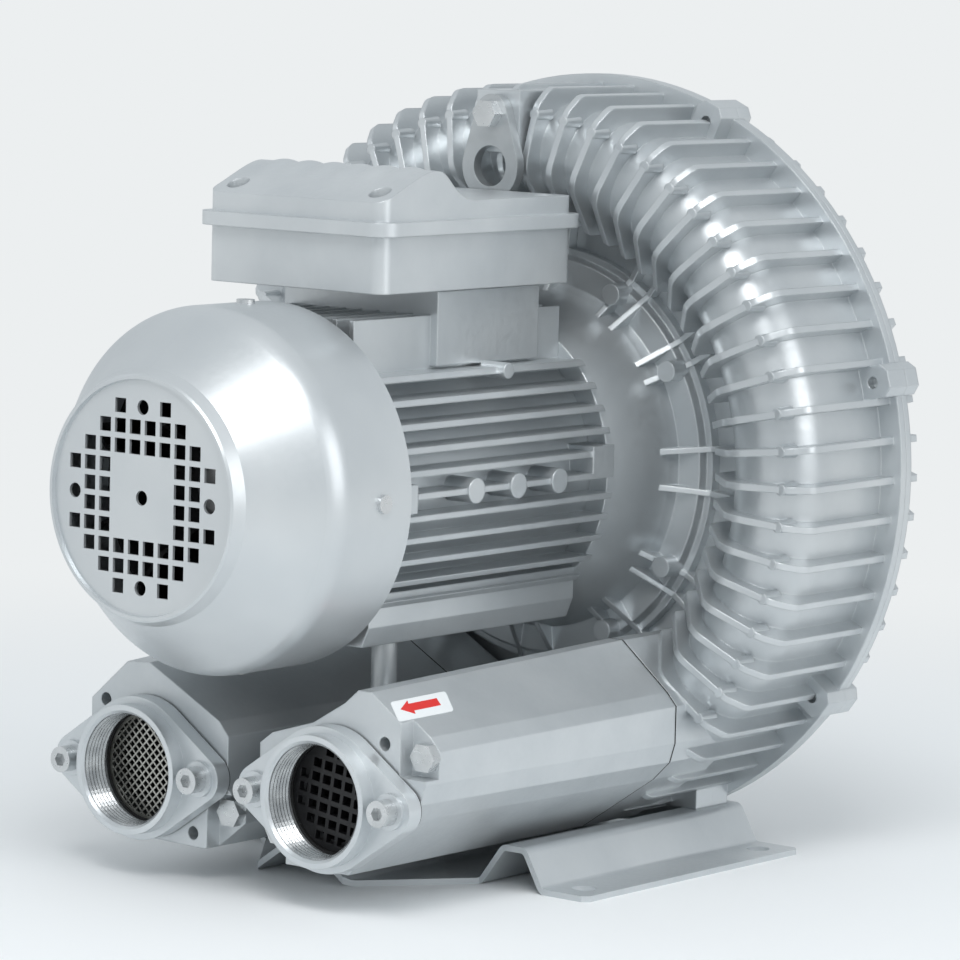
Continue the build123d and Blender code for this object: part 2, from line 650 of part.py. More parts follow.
def make_bell():
    inner_front = BELL_CONE_START_RADIUS - BELL_WALL
    inner_rear = BELL_CONE_END_RADIUS - BELL_WALL
    shell = turned([(MOTOR_REAR_Y, inner_front), (MOTOR_REAR_Y, BELL_CONE_START_RADIUS),
                    (BELL_CONE_END_Y, BELL_CONE_END_RADIUS), (BELL_STEP_Y, BELL_CONE_END_RADIUS + 2.0),
                    (BELL_STEP_Y, BELL_STEP_RADIUS), (BELL_RIM_FRONT_Y, BELL_STEP_RADIUS + 2.0),
                    (BELL_RIM_FRONT_Y, BELL_RIM_RADIUS), (FRONT_HUB_Y, BELL_RIM_RADIUS),
                    (FRONT_HUB_Y, inner_rear), (BELL_CONE_END_Y, inner_rear)])
    web_front = BEARING_REAR_Y - 4.0
    web = turned([(web_front, BEARING_OUTER_RADIUS - 4.0), (web_front, inner_rear + 1.0),
                  (web_front + 8.0, inner_rear + 1.0), (web_front + 8.0, BEARING_OUTER_RADIUS + 6.0),
                  (FRONT_HUB_Y, BEARING_OUTER_RADIUS + 6.0), (FRONT_HUB_Y, BEARING_OUTER_RADIUS),
                  (BEARING_REAR_Y, BEARING_OUTER_RADIUS), (BEARING_REAR_Y, BEARING_OUTER_RADIUS - 4.0)])
    rib = radial_plate([(FRONT_HUB_Y, BELL_CONE_START_RADIUS), (BELL_RIB_START_Y, BELL_CONE_START_RADIUS),
                        (BELL_RIB_START_Y, BELL_CONE_START_RADIUS + 5.0), (BELL_STEP_Y, BELL_STEP_RADIUS),
                        (BELL_RIM_FRONT_Y - 1.0, BELL_RIM_RADIUS), (BELL_RIM_FRONT_Y - 1.0, BELL_RIB_REACH),
                        (FRONT_HUB_Y, BELL_RIB_REACH)], BELL_RIB_THICKNESS)
    pieces = [at_angle(rib, angle) for angle in bell_quadrants(BELL_RIB_ANGLES)]
    pieces.append(tube(MOTOR_BORE_RADIUS, BELL_CONE_START_RADIUS - 1.0, MOTOR_REAR_Y, MOTOR_REAR_Y + BELL_FACE))
    places = [on_circle(BELL_BOSS_CIRCLE, angle) for angle in bell_screw_angles()]
    pieces += [rod(BELL_BOSS_RADIUS, BELL_BOSS_FRONT_Y, FRONT_HUB_Y, x, z) for x, z in places]
    bell = (shell + web).fuse(*pieces)
    for x, z in places:
        bell -= rod(BELL_SCREW_SHANK, BELL_BOSS_FRONT_Y + BELL_SCREW_SETBACK, FRONT_HUB_Y, x, z)
    return largest(bell)


def bell_screw_seat():
    """The bell's screws come from the impeller's side, sunk in the hub plate."""
    return FRONT_HUB_Y + HUB_PLATE - BELL_SCREW_HEAD_HEIGHT


def make_bell_screws():
    screws = []
    for angle in bell_screw_angles():
        x, z = on_circle(BELL_BOSS_CIRCLE, angle)
        head = rod(BELL_SCREW_HEAD, bell_screw_seat(), FRONT_HUB_Y + HUB_PLATE, x, z)
        shank = rod(BELL_SCREW_SHANK, BELL_BOSS_FRONT_Y + BELL_SCREW_SETBACK, bell_screw_seat(), x, z)
        screws.append(head + shank)
    return screws


# Motor
def spaced(count, pitch):
    """Places on a pitch, centred on nought."""
    return [(index - (count - 1) / 2) * pitch for index in range(count)]


def make_motor_frame():
    length = (MOTOR_FRONT_Y, MOTOR_REAR_Y)
    reach = MOTOR_FIN_RADIUS
    half = MOTOR_FIN_THICKNESS / 2
    blades = []
    for offset in spaced(MOTOR_SIDE_FINS, MOTOR_FIN_PITCH):
        z = AXIS_HEIGHT + offset
        blades.append(box_between(-reach, reach, *length, z - half, z + half))
    for offset in spaced(MOTOR_TOP_FINS, MOTOR_FIN_PITCH):
        blades.append(box_between(offset - half, offset + half, *length, AXIS_HEIGHT - reach, FIN_DECK_TOP_Z))
    for side in (-1, 1):
        x0, x1 = sorted((side * WEDGE_INNER_X, side * WEDGE_OUTER_X))
        wedge = [(x0, WEDGE_TOP_Z), (x1, WEDGE_TOP_Z), (x1, WEDGE_MIDDLE_Z), (x1 - WEDGE_DRAFT, WEDGE_BOTTOM_Z),
                 (x0 + WEDGE_DRAFT, WEDGE_BOTTOM_Z), (x0, WEDGE_MIDDLE_Z)]
        blades.append(slab(polygon(wedge), *length))
    core = rod(MOTOR_CORE_RADIUS, *length)
    envelope = rod(MOTOR_FIN_RADIUS, *length) + box_between(
        -WEDGE_OUTER_X, WEDGE_OUTER_X, *length, WEDGE_BOTTOM_Z, WEDGE_TOP_Z)
    envelope += box_between(-FIN_DECK_HALF_WIDTH, FIN_DECK_HALF_WIDTH, *length, AXIS_HEIGHT, FIN_DECK_TOP_Z)
    frame = core.fuse(*blades) & envelope
    frame += box_between(-DECK_HALF_WIDTH, DECK_HALF_WIDTH, DECK_FRONT_Y, DECK_REAR_Y,
                         AXIS_HEIGHT + MOTOR_CORE_RADIUS - 10.0, DECK_TOP_Z)
    for offset in (-BOSS_SPACING, 0.0, BOSS_SPACING):
        for side in (-1, 1):
            outer = side * BOSS_REACH
            inner = side * MOTOR_CORE_RADIUS
            boss = Plane(origin=(inner, BOSS_CENTRE_Y + offset, AXIS_HEIGHT), z_dir=(side, 0, 0)) * Circle(BOSS_RADIUS)
            frame += extrude(boss, amount=abs(outer - inner))
    ledge_z = AXIS_HEIGHT + MOTOR_FIN_PITCH * (MOTOR_SIDE_FINS - 1) / 2
    for side in (-1, 1):
        start = Plane(origin=(side * DECK_HALF_WIDTH, LEDGE_BOSS_Y, ledge_z), z_dir=(side, 0, 0))
        frame += extrude(start * Circle(LEDGE_BOSS_RADIUS), amount=LEDGE_BOSS_REACH - DECK_HALF_WIDTH)
        x0, x1 = sorted((side * MOTOR_BORE_RADIUS, side * MOTOR_FIN_RADIUS))
        frame += box_between(x0, x1, MOTOR_REAR_Y - TAB_LENGTH, MOTOR_REAR_Y, AXIS_HEIGHT, AXIS_HEIGHT + TAB_HEIGHT)
    frame -= rod(MOTOR_BORE_RADIUS, *length)
    return largest(frame)


def make_stator_core():
    return tube(STATOR_BORE_RADIUS, MOTOR_BORE_RADIUS, STATOR_FRONT_Y, STATOR_REAR_Y)


def make_winding_heads():
    inner = STATOR_BORE_RADIUS + 4.0
    return [tube(inner, WINDING_RADIUS, STATOR_FRONT_Y - WINDING_LENGTH, STATOR_FRONT_Y),
            tube(inner, WINDING_RADIUS, STATOR_REAR_Y, STATOR_REAR_Y + WINDING_LENGTH)]


def make_fan_end_shield():
    """Closes the frame at the fan end and carries the front bearing and the fan cover."""
    seat_rear = BEARING_FRONT_Y + BEARING_WIDTH
    shield = turned([(SHIELD_FRONT_Y, SHAFT_RADIUS + 2.0), (SHIELD_FRONT_Y, BEARING_OUTER_RADIUS + 6.0),
                   (MOTOR_FRONT_Y - 6.0, SHIELD_RADIUS - 4.0), (MOTOR_FRONT_Y - 6.0, SHIELD_RADIUS),
                   (MOTOR_FRONT_Y, SHIELD_RADIUS), (MOTOR_FRONT_Y, MOTOR_BORE_RADIUS),
                   (MOTOR_FRONT_Y + 5.0, MOTOR_BORE_RADIUS), (MOTOR_FRONT_Y + 5.0, MOTOR_BORE_RADIUS - 5.0),
                   (MOTOR_FRONT_Y, BEARING_OUTER_RADIUS + 8.0), (seat_rear, BEARING_OUTER_RADIUS + 5.0),
                   (seat_rear, BEARING_OUTER_RADIUS), (BEARING_FRONT_Y, BEARING_OUTER_RADIUS),
                   (BEARING_FRONT_Y, SHAFT_RADIUS + 2.0)])
    inside = COVER_RADIUS - COVER_SHEET
    for angle in COVER_SCREW_ANGLES:
        block = box_between(-7.0, 7.0, COVER_SCREW_Y - 5.0, MOTOR_FRONT_Y, AXIS_HEIGHT + SHIELD_RADIUS - 12.0,
                            AXIS_HEIGHT + COVER_RADIUS)
        block = block & rod(inside, COVER_SCREW_Y - 5.0, MOTOR_FRONT_Y)
        shield += at_angle(block, angle)
    for angle in COVER_SCREW_ANGLES:
        shield -= at_angle(cover_screw_shank(), angle)
    return shield


def bearing_fronts():
    """Front faces of the fan end bearing and of the drive end bearing."""
    return (BEARING_FRONT_Y, BEARING_REAR_Y)


def pitch_radius():
    return (SHAFT_BEARING_RADIUS + BEARING_OUTER_RADIUS) / 2


def race_groove(front_y):
    """Ring of space that the balls roll in."""
    middle = front_y + BEARING_WIDTH / 2
    return turned_face(Pos(middle, pitch_radius()) * Circle(BALL_RADIUS + SLIP))


def make_outer_rings():
    return [tube(BEARING_OUTER_RADIUS - BEARING_RACE, BEARING_OUTER_RADIUS, y, y + BEARING_WIDTH) - race_groove(y)
            for y in bearing_fronts()]


def make_inner_rings():
    return [tube(SHAFT_BEARING_RADIUS, SHAFT_BEARING_RADIUS + BEARING_RACE, y, y + BEARING_WIDTH) - race_groove(y)
            for y in bearing_fronts()]


def make_ball_cages():
    """Each bearing's ring of balls, held by its cage."""
    cages = []
    for front_y in bearing_fronts():
        middle = front_y + BEARING_WIDTH / 2
        half_gap = (BEARING_OUTER_RADIUS - SHAFT_BEARING_RADIUS) / 2 - BEARING_RACE - SLIP
        cage = tube(pitch_radius() - half_gap, pitch_radius() + half_gap, middle - CAGE_HALF_WIDTH,
                    middle + CAGE_HALF_WIDTH)
        balls = []
        for index in range(BALL_COUNT):
            x, z = on_circle(pitch_radius(), index * 360.0 / BALL_COUNT)
            balls.append(Pos(x, middle, z) * Sphere(BALL_RADIUS))
        cages.append(cage.fuse(*balls))
    return cages


# Rotor
def make_shaft():
    shaft = rod(SHAFT_FAN_RADIUS, SHAFT_FRONT_Y, SHIELD_FRONT_Y)
    shaft += rod(SHAFT_RADIUS, SHIELD_FRONT_Y, BEARING_FRONT_Y)
    shaft += rod(SHAFT_BEARING_RADIUS, BEARING_FRONT_Y, BEARING_REAR_Y + BEARING_WIDTH)
    shaft += rod(SHAFT_BEARING_RADIUS + 4.0, BEARING_FRONT_Y + BEARING_WIDTH, BEARING_REAR_Y)
    shaft += rod(SHAFT_RADIUS, BEARING_REAR_Y + BEARING_WIDTH, SHAFT_END_Y)
    shaft -= key_space()
    shaft -= rod(CAP_BOLT_SHANK, SHAFT_END_Y - CAP_BOLT_LENGTH, SHAFT_END_Y)
    return shaft


def key_space():
    top = AXIS_HEIGHT + SHAFT_RADIUS + KEY_HEIGHT / 2
    return box_between(-KEY_WIDTH / 2, KEY_WIDTH / 2, KEY_START_Y, SHAFT_END_Y, top - KEY_HEIGHT, top)


def make_rotor_core():
    return tube(SHAFT_BEARING_RADIUS + 4.0, ROTOR_RADIUS, STATOR_FRONT_Y, STATOR_REAR_Y)


def make_end_rings():
    inner = SHAFT_BEARING_RADIUS + 8.0
    return [tube(inner, ROTOR_RADIUS, STATOR_FRONT_Y - END_RING_LENGTH, STATOR_FRONT_Y),
            tube(inner, ROTOR_RADIUS, STATOR_REAR_Y, STATOR_REAR_Y + END_RING_LENGTH)]


def make_impeller():
    """Disc with a ring of straight vanes on both sides, open towards the two side channels."""
    outer = chamber_radius() - IMPELLER_RIM_GAP
    inner = INNER_WALL_RADIUS + HUB_PLATE - 2 + IMPELLER_RIM_GAP
    disc = tube(inner, outer, IMPELLER_FRONT_Y, IMPELLER_REAR_Y)
    disc += tube(SHAFT_RADIUS, inner + 1.0, WEB_FRONT_Y, WEB_REAR_Y)
    disc += tube(SHAFT_RADIUS, IMPELLER_HUB_RADIUS, IMPELLER_HUB_FRONT_Y, SHAFT_END_Y)
    vanes = []
    for side, mouth in ((1, IMPELLER_FRONT_Y), (-1, IMPELLER_REAR_Y)):
        half = Pos(mouth + side * GROOVE_RADIUS / 2, CHANNEL_PITCH_RADIUS) * Rectangle(GROOVE_RADIUS, 3 * GROOVE_RADIUS)
        face = (Pos(mouth, CHANNEL_PITCH_RADIUS) * Circle(GROOVE_RADIUS)) & half
        disc -= turned_face(face)
        sunk = (Pos(mouth, CHANNEL_PITCH_RADIUS) * Circle(GROOVE_RADIUS + VANE_ROOT)) & half
        blade = extrude(SECTION * sunk, amount=VANE_THICKNESS / 2, both=True)
        vanes += [at_angle(blade, index * 360.0 / VANE_COUNT) for index in range(VANE_COUNT)]
    return largest(disc.fuse(*vanes) - key_space())


def make_key():
    return key_space()


def make_cap_washer():
    return tube(CAP_BOLT_SHANK, CAP_WASHER_RADIUS, SHAFT_END_Y, SHAFT_END_Y + CAP_WASHER_THICKNESS)


def make_cap_bolt():
    seat = SHAFT_END_Y + CAP_WASHER_THICKNESS
    head = hex_head(CAP_BOLT_HEAD, seat, seat + CAP_BOLT_HEAD_HEIGHT, 0, AXIS_HEIGHT)
    return head + rod(CAP_BOLT_SHANK, SHAFT_END_Y - CAP_BOLT_LENGTH, seat)


def make_cooling_fan():
    disc_front = FAN_REAR_Y - FAN_DISC
    fan = tube(SHAFT_FAN_RADIUS, FAN_RADIUS, disc_front, FAN_REAR_Y)
    fan += tube(SHAFT_FAN_RADIUS, FAN_HUB_RADIUS, SHAFT_FRONT_Y + 4.0, FAN_REAR_Y)
    blade = radial_plate([(disc_front + 1.0, FAN_HUB_RADIUS - 1.0), (disc_front + 1.0, FAN_RADIUS),
                          (FAN_FRONT_Y + 14.0, FAN_RADIUS), (FAN_FRONT_Y, FAN_RADIUS - 22.0),
                          (FAN_FRONT_Y + 6.0, FAN_HUB_RADIUS + 16.0), (SHAFT_FRONT_Y + 4.0, FAN_HUB_RADIUS - 1.0)],
                         FAN_BLADE_THICKNESS)
    return fan.fuse(*[at_angle(blade, index * 360.0 / FAN_BLADES) for index in range(FAN_BLADES)])


def make_fan_clip():
    front = SHAFT_FRONT_Y + 4.0 - FAN_CLIP_WIDTH
    return tube(SHAFT_FAN_RADIUS, SHAFT_FAN_RADIUS + 3.0, front, front + FAN_CLIP_WIDTH)


# Fan cover
def make_fan_cover():
    outer = COVER_RADIUS
    sheet = COVER_SHEET
    cover = turned([(COVER_REAR_Y, outer - sheet), (COVER_REAR_Y, outer), (COVER_SHOULDER_Y, outer),
                    (COVER_FRONT_Y, COVER_FRONT_RADIUS), (RIM_FRONT_Y + 1.0, RIM_RADIUS),
                    (RIM_FRONT_Y, RIM_RADIUS - 1.0), (RIM_FRONT_Y, GRILLE_RADIUS - 0.5),
                    (GRILLE_FRONT_Y, GRILLE_RADIUS - 1.0), (GRILLE_FRONT_Y, 0.0), (GRILLE_FRONT_Y + sheet, 0.0),
                    (GRILLE_FRONT_Y + sheet, GRILLE_RADIUS), (COVER_FRONT_Y + sheet, COVER_FRONT_RADIUS - sheet),
                    (COVER_SHOULDER_Y, outer - sheet)],
                   [((COVER_SHOULDER_Y, outer), 20.0), ((COVER_SHOULDER_Y, outer - sheet), 20.0 - sheet)])
    holes = Pos(0, AXIS_HEIGHT) * Circle(GRILLE_ROUND_HOLE)
    middle = (len(GRILLE_ROWS) - 1) / 2
    for row, marks in enumerate(GRILLE_ROWS):
        for column, mark in enumerate(marks):
            if mark == "X":
                place = Pos((column - middle) * GRILLE_PITCH, AXIS_HEIGHT + (middle - row) * GRILLE_PITCH)
                holes += place * Rectangle(GRILLE_HOLE, GRILLE_HOLE)
    edge = middle * GRILLE_PITCH
    for x, z in ((edge, 0), (-edge, 0), (0, edge), (0, -edge)):
        holes += Pos(x, AXIS_HEIGHT + z) * Circle(GRILLE_ROUND_HOLE)
    cover -= slab(holes, GRILLE_FRONT_Y - 1.0, GRILLE_FRONT_Y + sheet + 1.0)
    for angle in COVER_SCREW_ANGLES:
        cover -= at_angle(cover_screw_shank(), angle)
    return cover


def cover_screw_shank():
    top = AXIS_HEIGHT + COVER_RADIUS
    return pillar(COVER_SCREW_SHANK, top - COVER_SCREW_LENGTH, top, 0, COVER_SCREW_Y)


def make_cover_screws():
    screws = []
    top = AXIS_HEIGHT + COVER_RADIUS
    for angle in COVER_SCREW_ANGLES:
        head = pillar(COVER_SCREW_HEAD, top - 0.2, top + COVER_SCREW_HEAD_HEIGHT, 0, COVER_SCREW_Y)
        screws.append(at_angle(head - rod(COVER_RADIUS, COVER_SCREW_Y - 9.0, COVER_SCREW_Y + 9.0)
                               + cover_screw_shank(), angle))
    return screws


# Terminal box
def rounded_block(half_width, front_y, rear_y, bottom, top, corner):
    middle = (front_y + rear_y) / 2
    face = RectangleRounded(2 * half_width, rear_y - front_y, corner)
    return Pos(0, middle, bottom) * extrude(face, amount=top - bottom)


def make_box_gasket():
    bottom = BOX_BOTTOM_Z - BOX_GASKET
    outer = rounded_block(DECK_HALF_WIDTH - 2.0, DECK_FRONT_Y + 2.0, DECK_REAR_Y - 2.0, bottom, BOX_BOTTOM_Z, 8.0)
    return outer - rounded_block(DECK_HALF_WIDTH - 10.0, DECK_FRONT_Y + 10.0, DECK_REAR_Y - 10.0, bottom,
                                 BOX_BOTTOM_Z, 6.0)


def gland_place():
    """Cable entry in the side of the terminal box that faces away from the ports' outlet side."""
    return -BOX_HALF_WIDTH, (BOX_FRONT_Y + BOX_REAR_Y) / 2


def make_terminal_box():
    body = rounded_block(BOX_HALF_WIDTH, BOX_FRONT_Y, BOX_REAR_Y, BOX_BOTTOM_Z, BOX_TOP_Z, BOX_CORNER)
    body -= rounded_block(BOX_HALF_WIDTH - BOX_WALL, BOX_FRONT_Y + BOX_WALL, BOX_REAR_Y - BOX_WALL,
                          BOX_BOTTOM_Z + BOX_FLOOR, BOX_TOP_Z, BOX_CORNER - BOX_WALL)
    for x, y in lid_screw_places():
        body += pillar(LID_SCREW_SHANK + 3.0, BOX_BOTTOM_Z, BOX_TOP_Z, x, y) - lid_screw_hole(x, y)
    x, y = gland_place()
    body -= Plane(origin=(x, y, GLAND_HEIGHT_Z), z_dir=(1, 0, 0)) * extrude(Circle(GLAND_RADIUS), amount=BOX_WALL)
    for x, y in lid_screw_places():
        body -= lid_screw_hole(x, y)
    return body


def lid_screw_places():
    x = BOX_HALF_WIDTH - LID_SCREW_INSET
    return [(sx * x, y) for sx in (-1, 1) for y in (BOX_FRONT_Y + LID_SCREW_INSET, BOX_REAR_Y - LID_SCREW_INSET)]


def lid_screw_hole(x, y):
    return pillar(LID_SCREW_SHANK, BOX_TOP_Z - 14.0, LID_CREST_Z, x, y)


def lid_seat_z():
    """Floor of the recesses for the lid screws."""
    return LID_REAR_Z - LID_SCREW_HEAD_HEIGHT - 1.0


def make_terminal_lid():
    """Lid with a high crowned front and a low flat rear, over a lip band."""
    width = BOX_HALF_WIDTH + LID_OVERHANG
    front = BOX_FRONT_Y - LID_OVERHANG
    rear = BOX_REAR_Y + LID_OVERHANG
    crown = Spline((BOX_FRONT_Y, LID_FRONT_Z), (LID_CREST_Y, LID_CREST_Z), (LID_DROP_Y, LID_REAR_Z),
                   tangents=[(1, 0.35), (1, 0)])
    side = crown + Polyline((LID_DROP_Y, LID_REAR_Z), (BOX_REAR_Y, LID_REAR_Z), (BOX_REAR_Y, BOX_TOP_Z),
                            (BOX_FRONT_Y, BOX_TOP_Z), (BOX_FRONT_Y, LID_FRONT_Z))
    across = Plane(origin=(-BOX_HALF_WIDTH, 0, 0), x_dir=(0, 1, 0), z_dir=(1, 0, 0))
    solid = extrude(across * make_face(side), amount=2 * BOX_HALF_WIDTH)
    solid = solid & rounded_block(BOX_HALF_WIDTH, BOX_FRONT_Y, BOX_REAR_Y, BOX_TOP_Z, LID_CREST_Z + 5.0, BOX_CORNER)
    solid += rounded_block(width, front, rear, BOX_TOP_Z, BOX_TOP_Z + LID_BAND, BOX_CORNER + LID_OVERHANG)
    solid -= rounded_block(BOX_HALF_WIDTH - LID_WALL, BOX_FRONT_Y + LID_WALL, BOX_REAR_Y - LID_WALL, BOX_TOP_Z,
                           LID_REAR_Z - LID_WALL - 3.0, BOX_CORNER - LID_WALL)
    for x, y in lid_screw_places():
        solid += pillar(LID_SCREW_SHANK + 3.0, BOX_TOP_Z, lid_seat_z(), x, y)
    for x, y in lid_screw_places():
        solid -= lid_screw_hole(x, y)
        solid -= pillar(LID_SCREW_HEAD + 1.0, lid_seat_z(), LID_CREST_Z, x, y)
    return largest(solid)


def make_lid_screws():
    screws = []
    for x, y in lid_screw_places():
        head = pillar(LID_SCREW_HEAD, lid_seat_z(), lid_seat_z() + LID_SCREW_HEAD_HEIGHT, x, y)
        screws.append(head + pillar(LID_SCREW_SHANK, BOX_TOP_Z - 13.0, lid_seat_z(), x, y))
    return screws


def make_cable_plug():
    """Threaded blanking gland in the box's cable entry, with no cable in it."""
    x, y = gland_place()
    wall = Plane(origin=(x, y, GLAND_HEIGHT_Z), z_dir=(-1, 0, 0))
    head = wall * extrude(RegularPolygon(GLAND_HEX / 2, 6), amount=GLAND_HEX_LENGTH)
    body = wall.offset(-GLAND_THREAD_LENGTH) * extrude(Circle(GLAND_RADIUS), amount=GLAND_THREAD_LENGTH)
    bore = wall.offset(-GLAND_THREAD_LENGTH) * extrude(Circle(7.0), amount=GLAND_THREAD_LENGTH + GLAND_HEX_LENGTH)
    return head + body - bore


def make_terminal_block():
    floor = BOX_BOTTOM_Z + BOX_FLOOR
    y = (BOX_FRONT_Y + BOX_REAR_Y) / 2
    block = box_between(-TERMINAL_BLOCK_WIDTH / 2, TERMINAL_BLOCK_WIDTH / 2, y - TERMINAL_BLOCK_LENGTH / 2,
                        y + TERMINAL_BLOCK_LENGTH / 2, floor, floor + TERMINAL_BLOCK_HEIGHT)
    for x, y in stud_places():
        block -= pillar(STUD_RADIUS, floor, floor + TERMINAL_BLOCK_HEIGHT, x, y)
    return block


def stud_places():
    middle = (BOX_FRONT_Y + BOX_REAR_Y) / 2
    return [(sx * STUD_ROW_SPACING / 2, middle + offset) for sx in (-1, 1) for offset in spaced(3, STUD_SPACING)]


def make_terminal_studs():
    floor = BOX_BOTTOM_Z + BOX_FLOOR
    top = floor + TERMINAL_BLOCK_HEIGHT
    studs = []
    for x, y in stud_places():
        nut = Pos(x, y, top) * extrude(RegularPolygon(STUD_RADIUS * 2, 6), amount=4.0)
        studs.append(pillar(STUD_RADIUS, floor, floor + STUD_HEIGHT + 4.0, x, y) + nut)
    return studs


# Silencers and ports
def silencer_bolt_places(side):
    """The outlet silencer's upper bolt and the inlet's lower bolt show beside the ports."""
    if side > 0:
        return [(111.0, 80.0), (20.0, 32.5)]
    return [(-12.0, 37.0)]


def pocket(x, z):
    """Notch in the front corner of a silencer that leaves room for a bolt head."""
    away = 20.0
    x0, x1 = sorted((x - math.copysign(POCKET_REACH, x - math.copysign(PORT_X, x)),
                     x + math.copysign(away, x - math.copysign(PORT_X, x))))
    z0, z1 = (z - POCKET_REACH, z + away) if z > PORT_Z else (z - away, z + POCKET_REACH)
    return box_between(x0, x1, SILENCER_FRONT_Y, SILENCER_FRONT_Y + POCKET_DEPTH, z0, z1)


def make_silencer(side):
    body = tapered(silencer_outline(side), silencer_outline(side, True), SILENCER_FRONT_Y,
                   SILENCER_REAR_Y - JOINT_GASKET)
    if side > 0:
        body += pillar(POST_RADIUS + POST_SEAT_RIM, PORT_Z + LINER_RADIUS, POST_SEAT_Z, POST_X, POST_Y)
    x, z = duct_bore(side)
    body -= rod(LINER_RADIUS, SILENCER_FRONT_Y, LINER_REAR_Y, x, z)
    body -= rod(LINER_BORE, LINER_REAR_Y, SILENCER_REAR_Y, x, z)
    for bolt_x, bolt_z in silencer_bolt_places(side):
        body -= rod(SILENCER_BOLT_SHANK, SILENCER_FRONT_Y, SILENCER_REAR_Y, bolt_x, bolt_z)
        body -= pocket(bolt_x, bolt_z)
    for x, z in spare_hole_places(side):
        body -= rod(SPARE_HOLE_RADIUS, SILENCER_FRONT_Y, SILENCER_FRONT_Y + SPARE_HOLE_DEPTH, x, z)
    for x, z in port_screw_places(side):
        body -= rod(PORT_SCREW_SHANK, SILENCER_FRONT_Y, SILENCER_FRONT_Y + PORT_SCREW_LENGTH, x, z)
    return largest(body)


def spare_hole_places(side):
    """Tapped holes at 45 degrees, on the port screws' circle."""
    step = PORT_SCREW_CIRCLE * math.cos(math.radians(45.0))
    return [(side * PORT_X + sx * step, PORT_Z + side * sx * step) for sx in (-1, 1)]


def port_screw_places(side):
    return [(side * PORT_X + sx * PORT_SCREW_CIRCLE, PORT_Z) for sx in (-1, 1)]


def make_silencer_gasket(side):
    gasket = slab(polygon(silencer_outline(side, True)), SILENCER_REAR_Y - JOINT_GASKET, SILENCER_REAR_Y)
    x, z = duct_bore(side)
    gasket -= rod(LINER_BORE, SILENCER_REAR_Y - JOINT_GASKET, SILENCER_REAR_Y, x, z)
    for x, z in silencer_bolt_places(side):
        gasket -= rod(SILENCER_BOLT_SHANK, SILENCER_REAR_Y - JOINT_GASKET, SILENCER_REAR_Y, x, z)
    return gasket


def make_silencer_bolts():
    bolts = []
    seat = SILENCER_FRONT_Y + POCKET_DEPTH
    for side in (-1, 1):
        for x, z in silencer_bolt_places(side):
            head = hex_head(SILENCER_BOLT_HEAD, seat - SILENCER_BOLT_HEAD_HEIGHT, seat, x, z)
            bolts.append(head + rod(SILENCER_BOLT_SHANK, seat, SILENCER_REAR_Y + 14.0, x, z))
    return bolts


def make_liner(side):
    """Sound absorbing tube inside a silencer."""
    x, z = duct_bore(side)
    return rod(LINER_RADIUS, LINER_FRONT_Y, LINER_REAR_Y, x, z) - rod(LINER_BORE, LINER_FRONT_Y, LINER_REAR_Y, x, z)


def rhombus(side, radius_shift=0.0):
    """Two-bolt flange shape: a round body with two ears."""
    x, z = side * PORT_X, PORT_Z
    body = Pos(x, z) * Circle(PORT_BODY_RADIUS + radius_shift)
    ears = [Pos(ear_x, ear_z) * Circle(PORT_EAR_RADIUS + radius_shift) for ear_x, ear_z in port_screw_places(side)]
    return make_hull((body + ears[0] + ears[1]).edges())


def make_port_gasket(side):
    rear = SILENCER_FRONT_Y
    gasket = slab(rhombus(side, -0.5), rear - PORT_GASKET, rear)
    gasket -= rod(LINER_RADIUS, rear - PORT_GASKET, rear, side * PORT_X, PORT_Z)
    for x, z in port_screw_places(side):
        gasket -= rod(PORT_SCREW_SHANK, rear - PORT_GASKET, rear, x, z)
    return gasket


def make_port_flange(side):
    rear = SILENCER_FRONT_Y - PORT_GASKET
    face = rear - PORT_EAR_THICKNESS
    x, z = side * PORT_X, PORT_Z
    flange = slab(rhombus(side), face, rear)
    flange += rod(PORT_RING_RADIUS, PORT_FRONT_Y, rear, x, z)
    for screw_x, screw_z in port_screw_places(side):
        flange += rod(PORT_SCREW_HEAD + 2.5, face - 2.0, face, screw_x, screw_z)
    flange -= rod(PORT_THREAD_MINOR, PORT_FRONT_Y, rear, x, z)
    mouth = [(PORT_FRONT_Y, 0.0), (PORT_FRONT_Y, PORT_THREAD_MINOR + PORT_CHAMFER),
             (PORT_FRONT_Y + PORT_CHAMFER, PORT_THREAD_MINOR), (PORT_FRONT_Y + PORT_CHAMFER, 0.0)]
    flange -= Pos(x, 0, z - AXIS_HEIGHT) * turned(mouth)
    for screw_x, screw_z in port_screw_places(side):
        flange -= rod(PORT_SCREW_SHANK, PORT_FRONT_Y, rear, screw_x, screw_z)
    return flange


def make_port_screws():
    screws = []
    seat = SILENCER_FRONT_Y - PORT_GASKET - PORT_EAR_THICKNESS - 2.0
    for side in (-1, 1):
        for x, z in port_screw_places(side):
            head = rod(PORT_SCREW_HEAD, seat - PORT_SCREW_HEAD_HEIGHT, seat, x, z)
            head -= hex_head(3.5, seat - PORT_SCREW_HEAD_HEIGHT, seat - PORT_SCREW_HEAD_HEIGHT + 4.0, x, z)
            screws.append(head + rod(PORT_SCREW_SHANK, seat, seat + PORT_SCREW_LENGTH, x, z))
    return screws


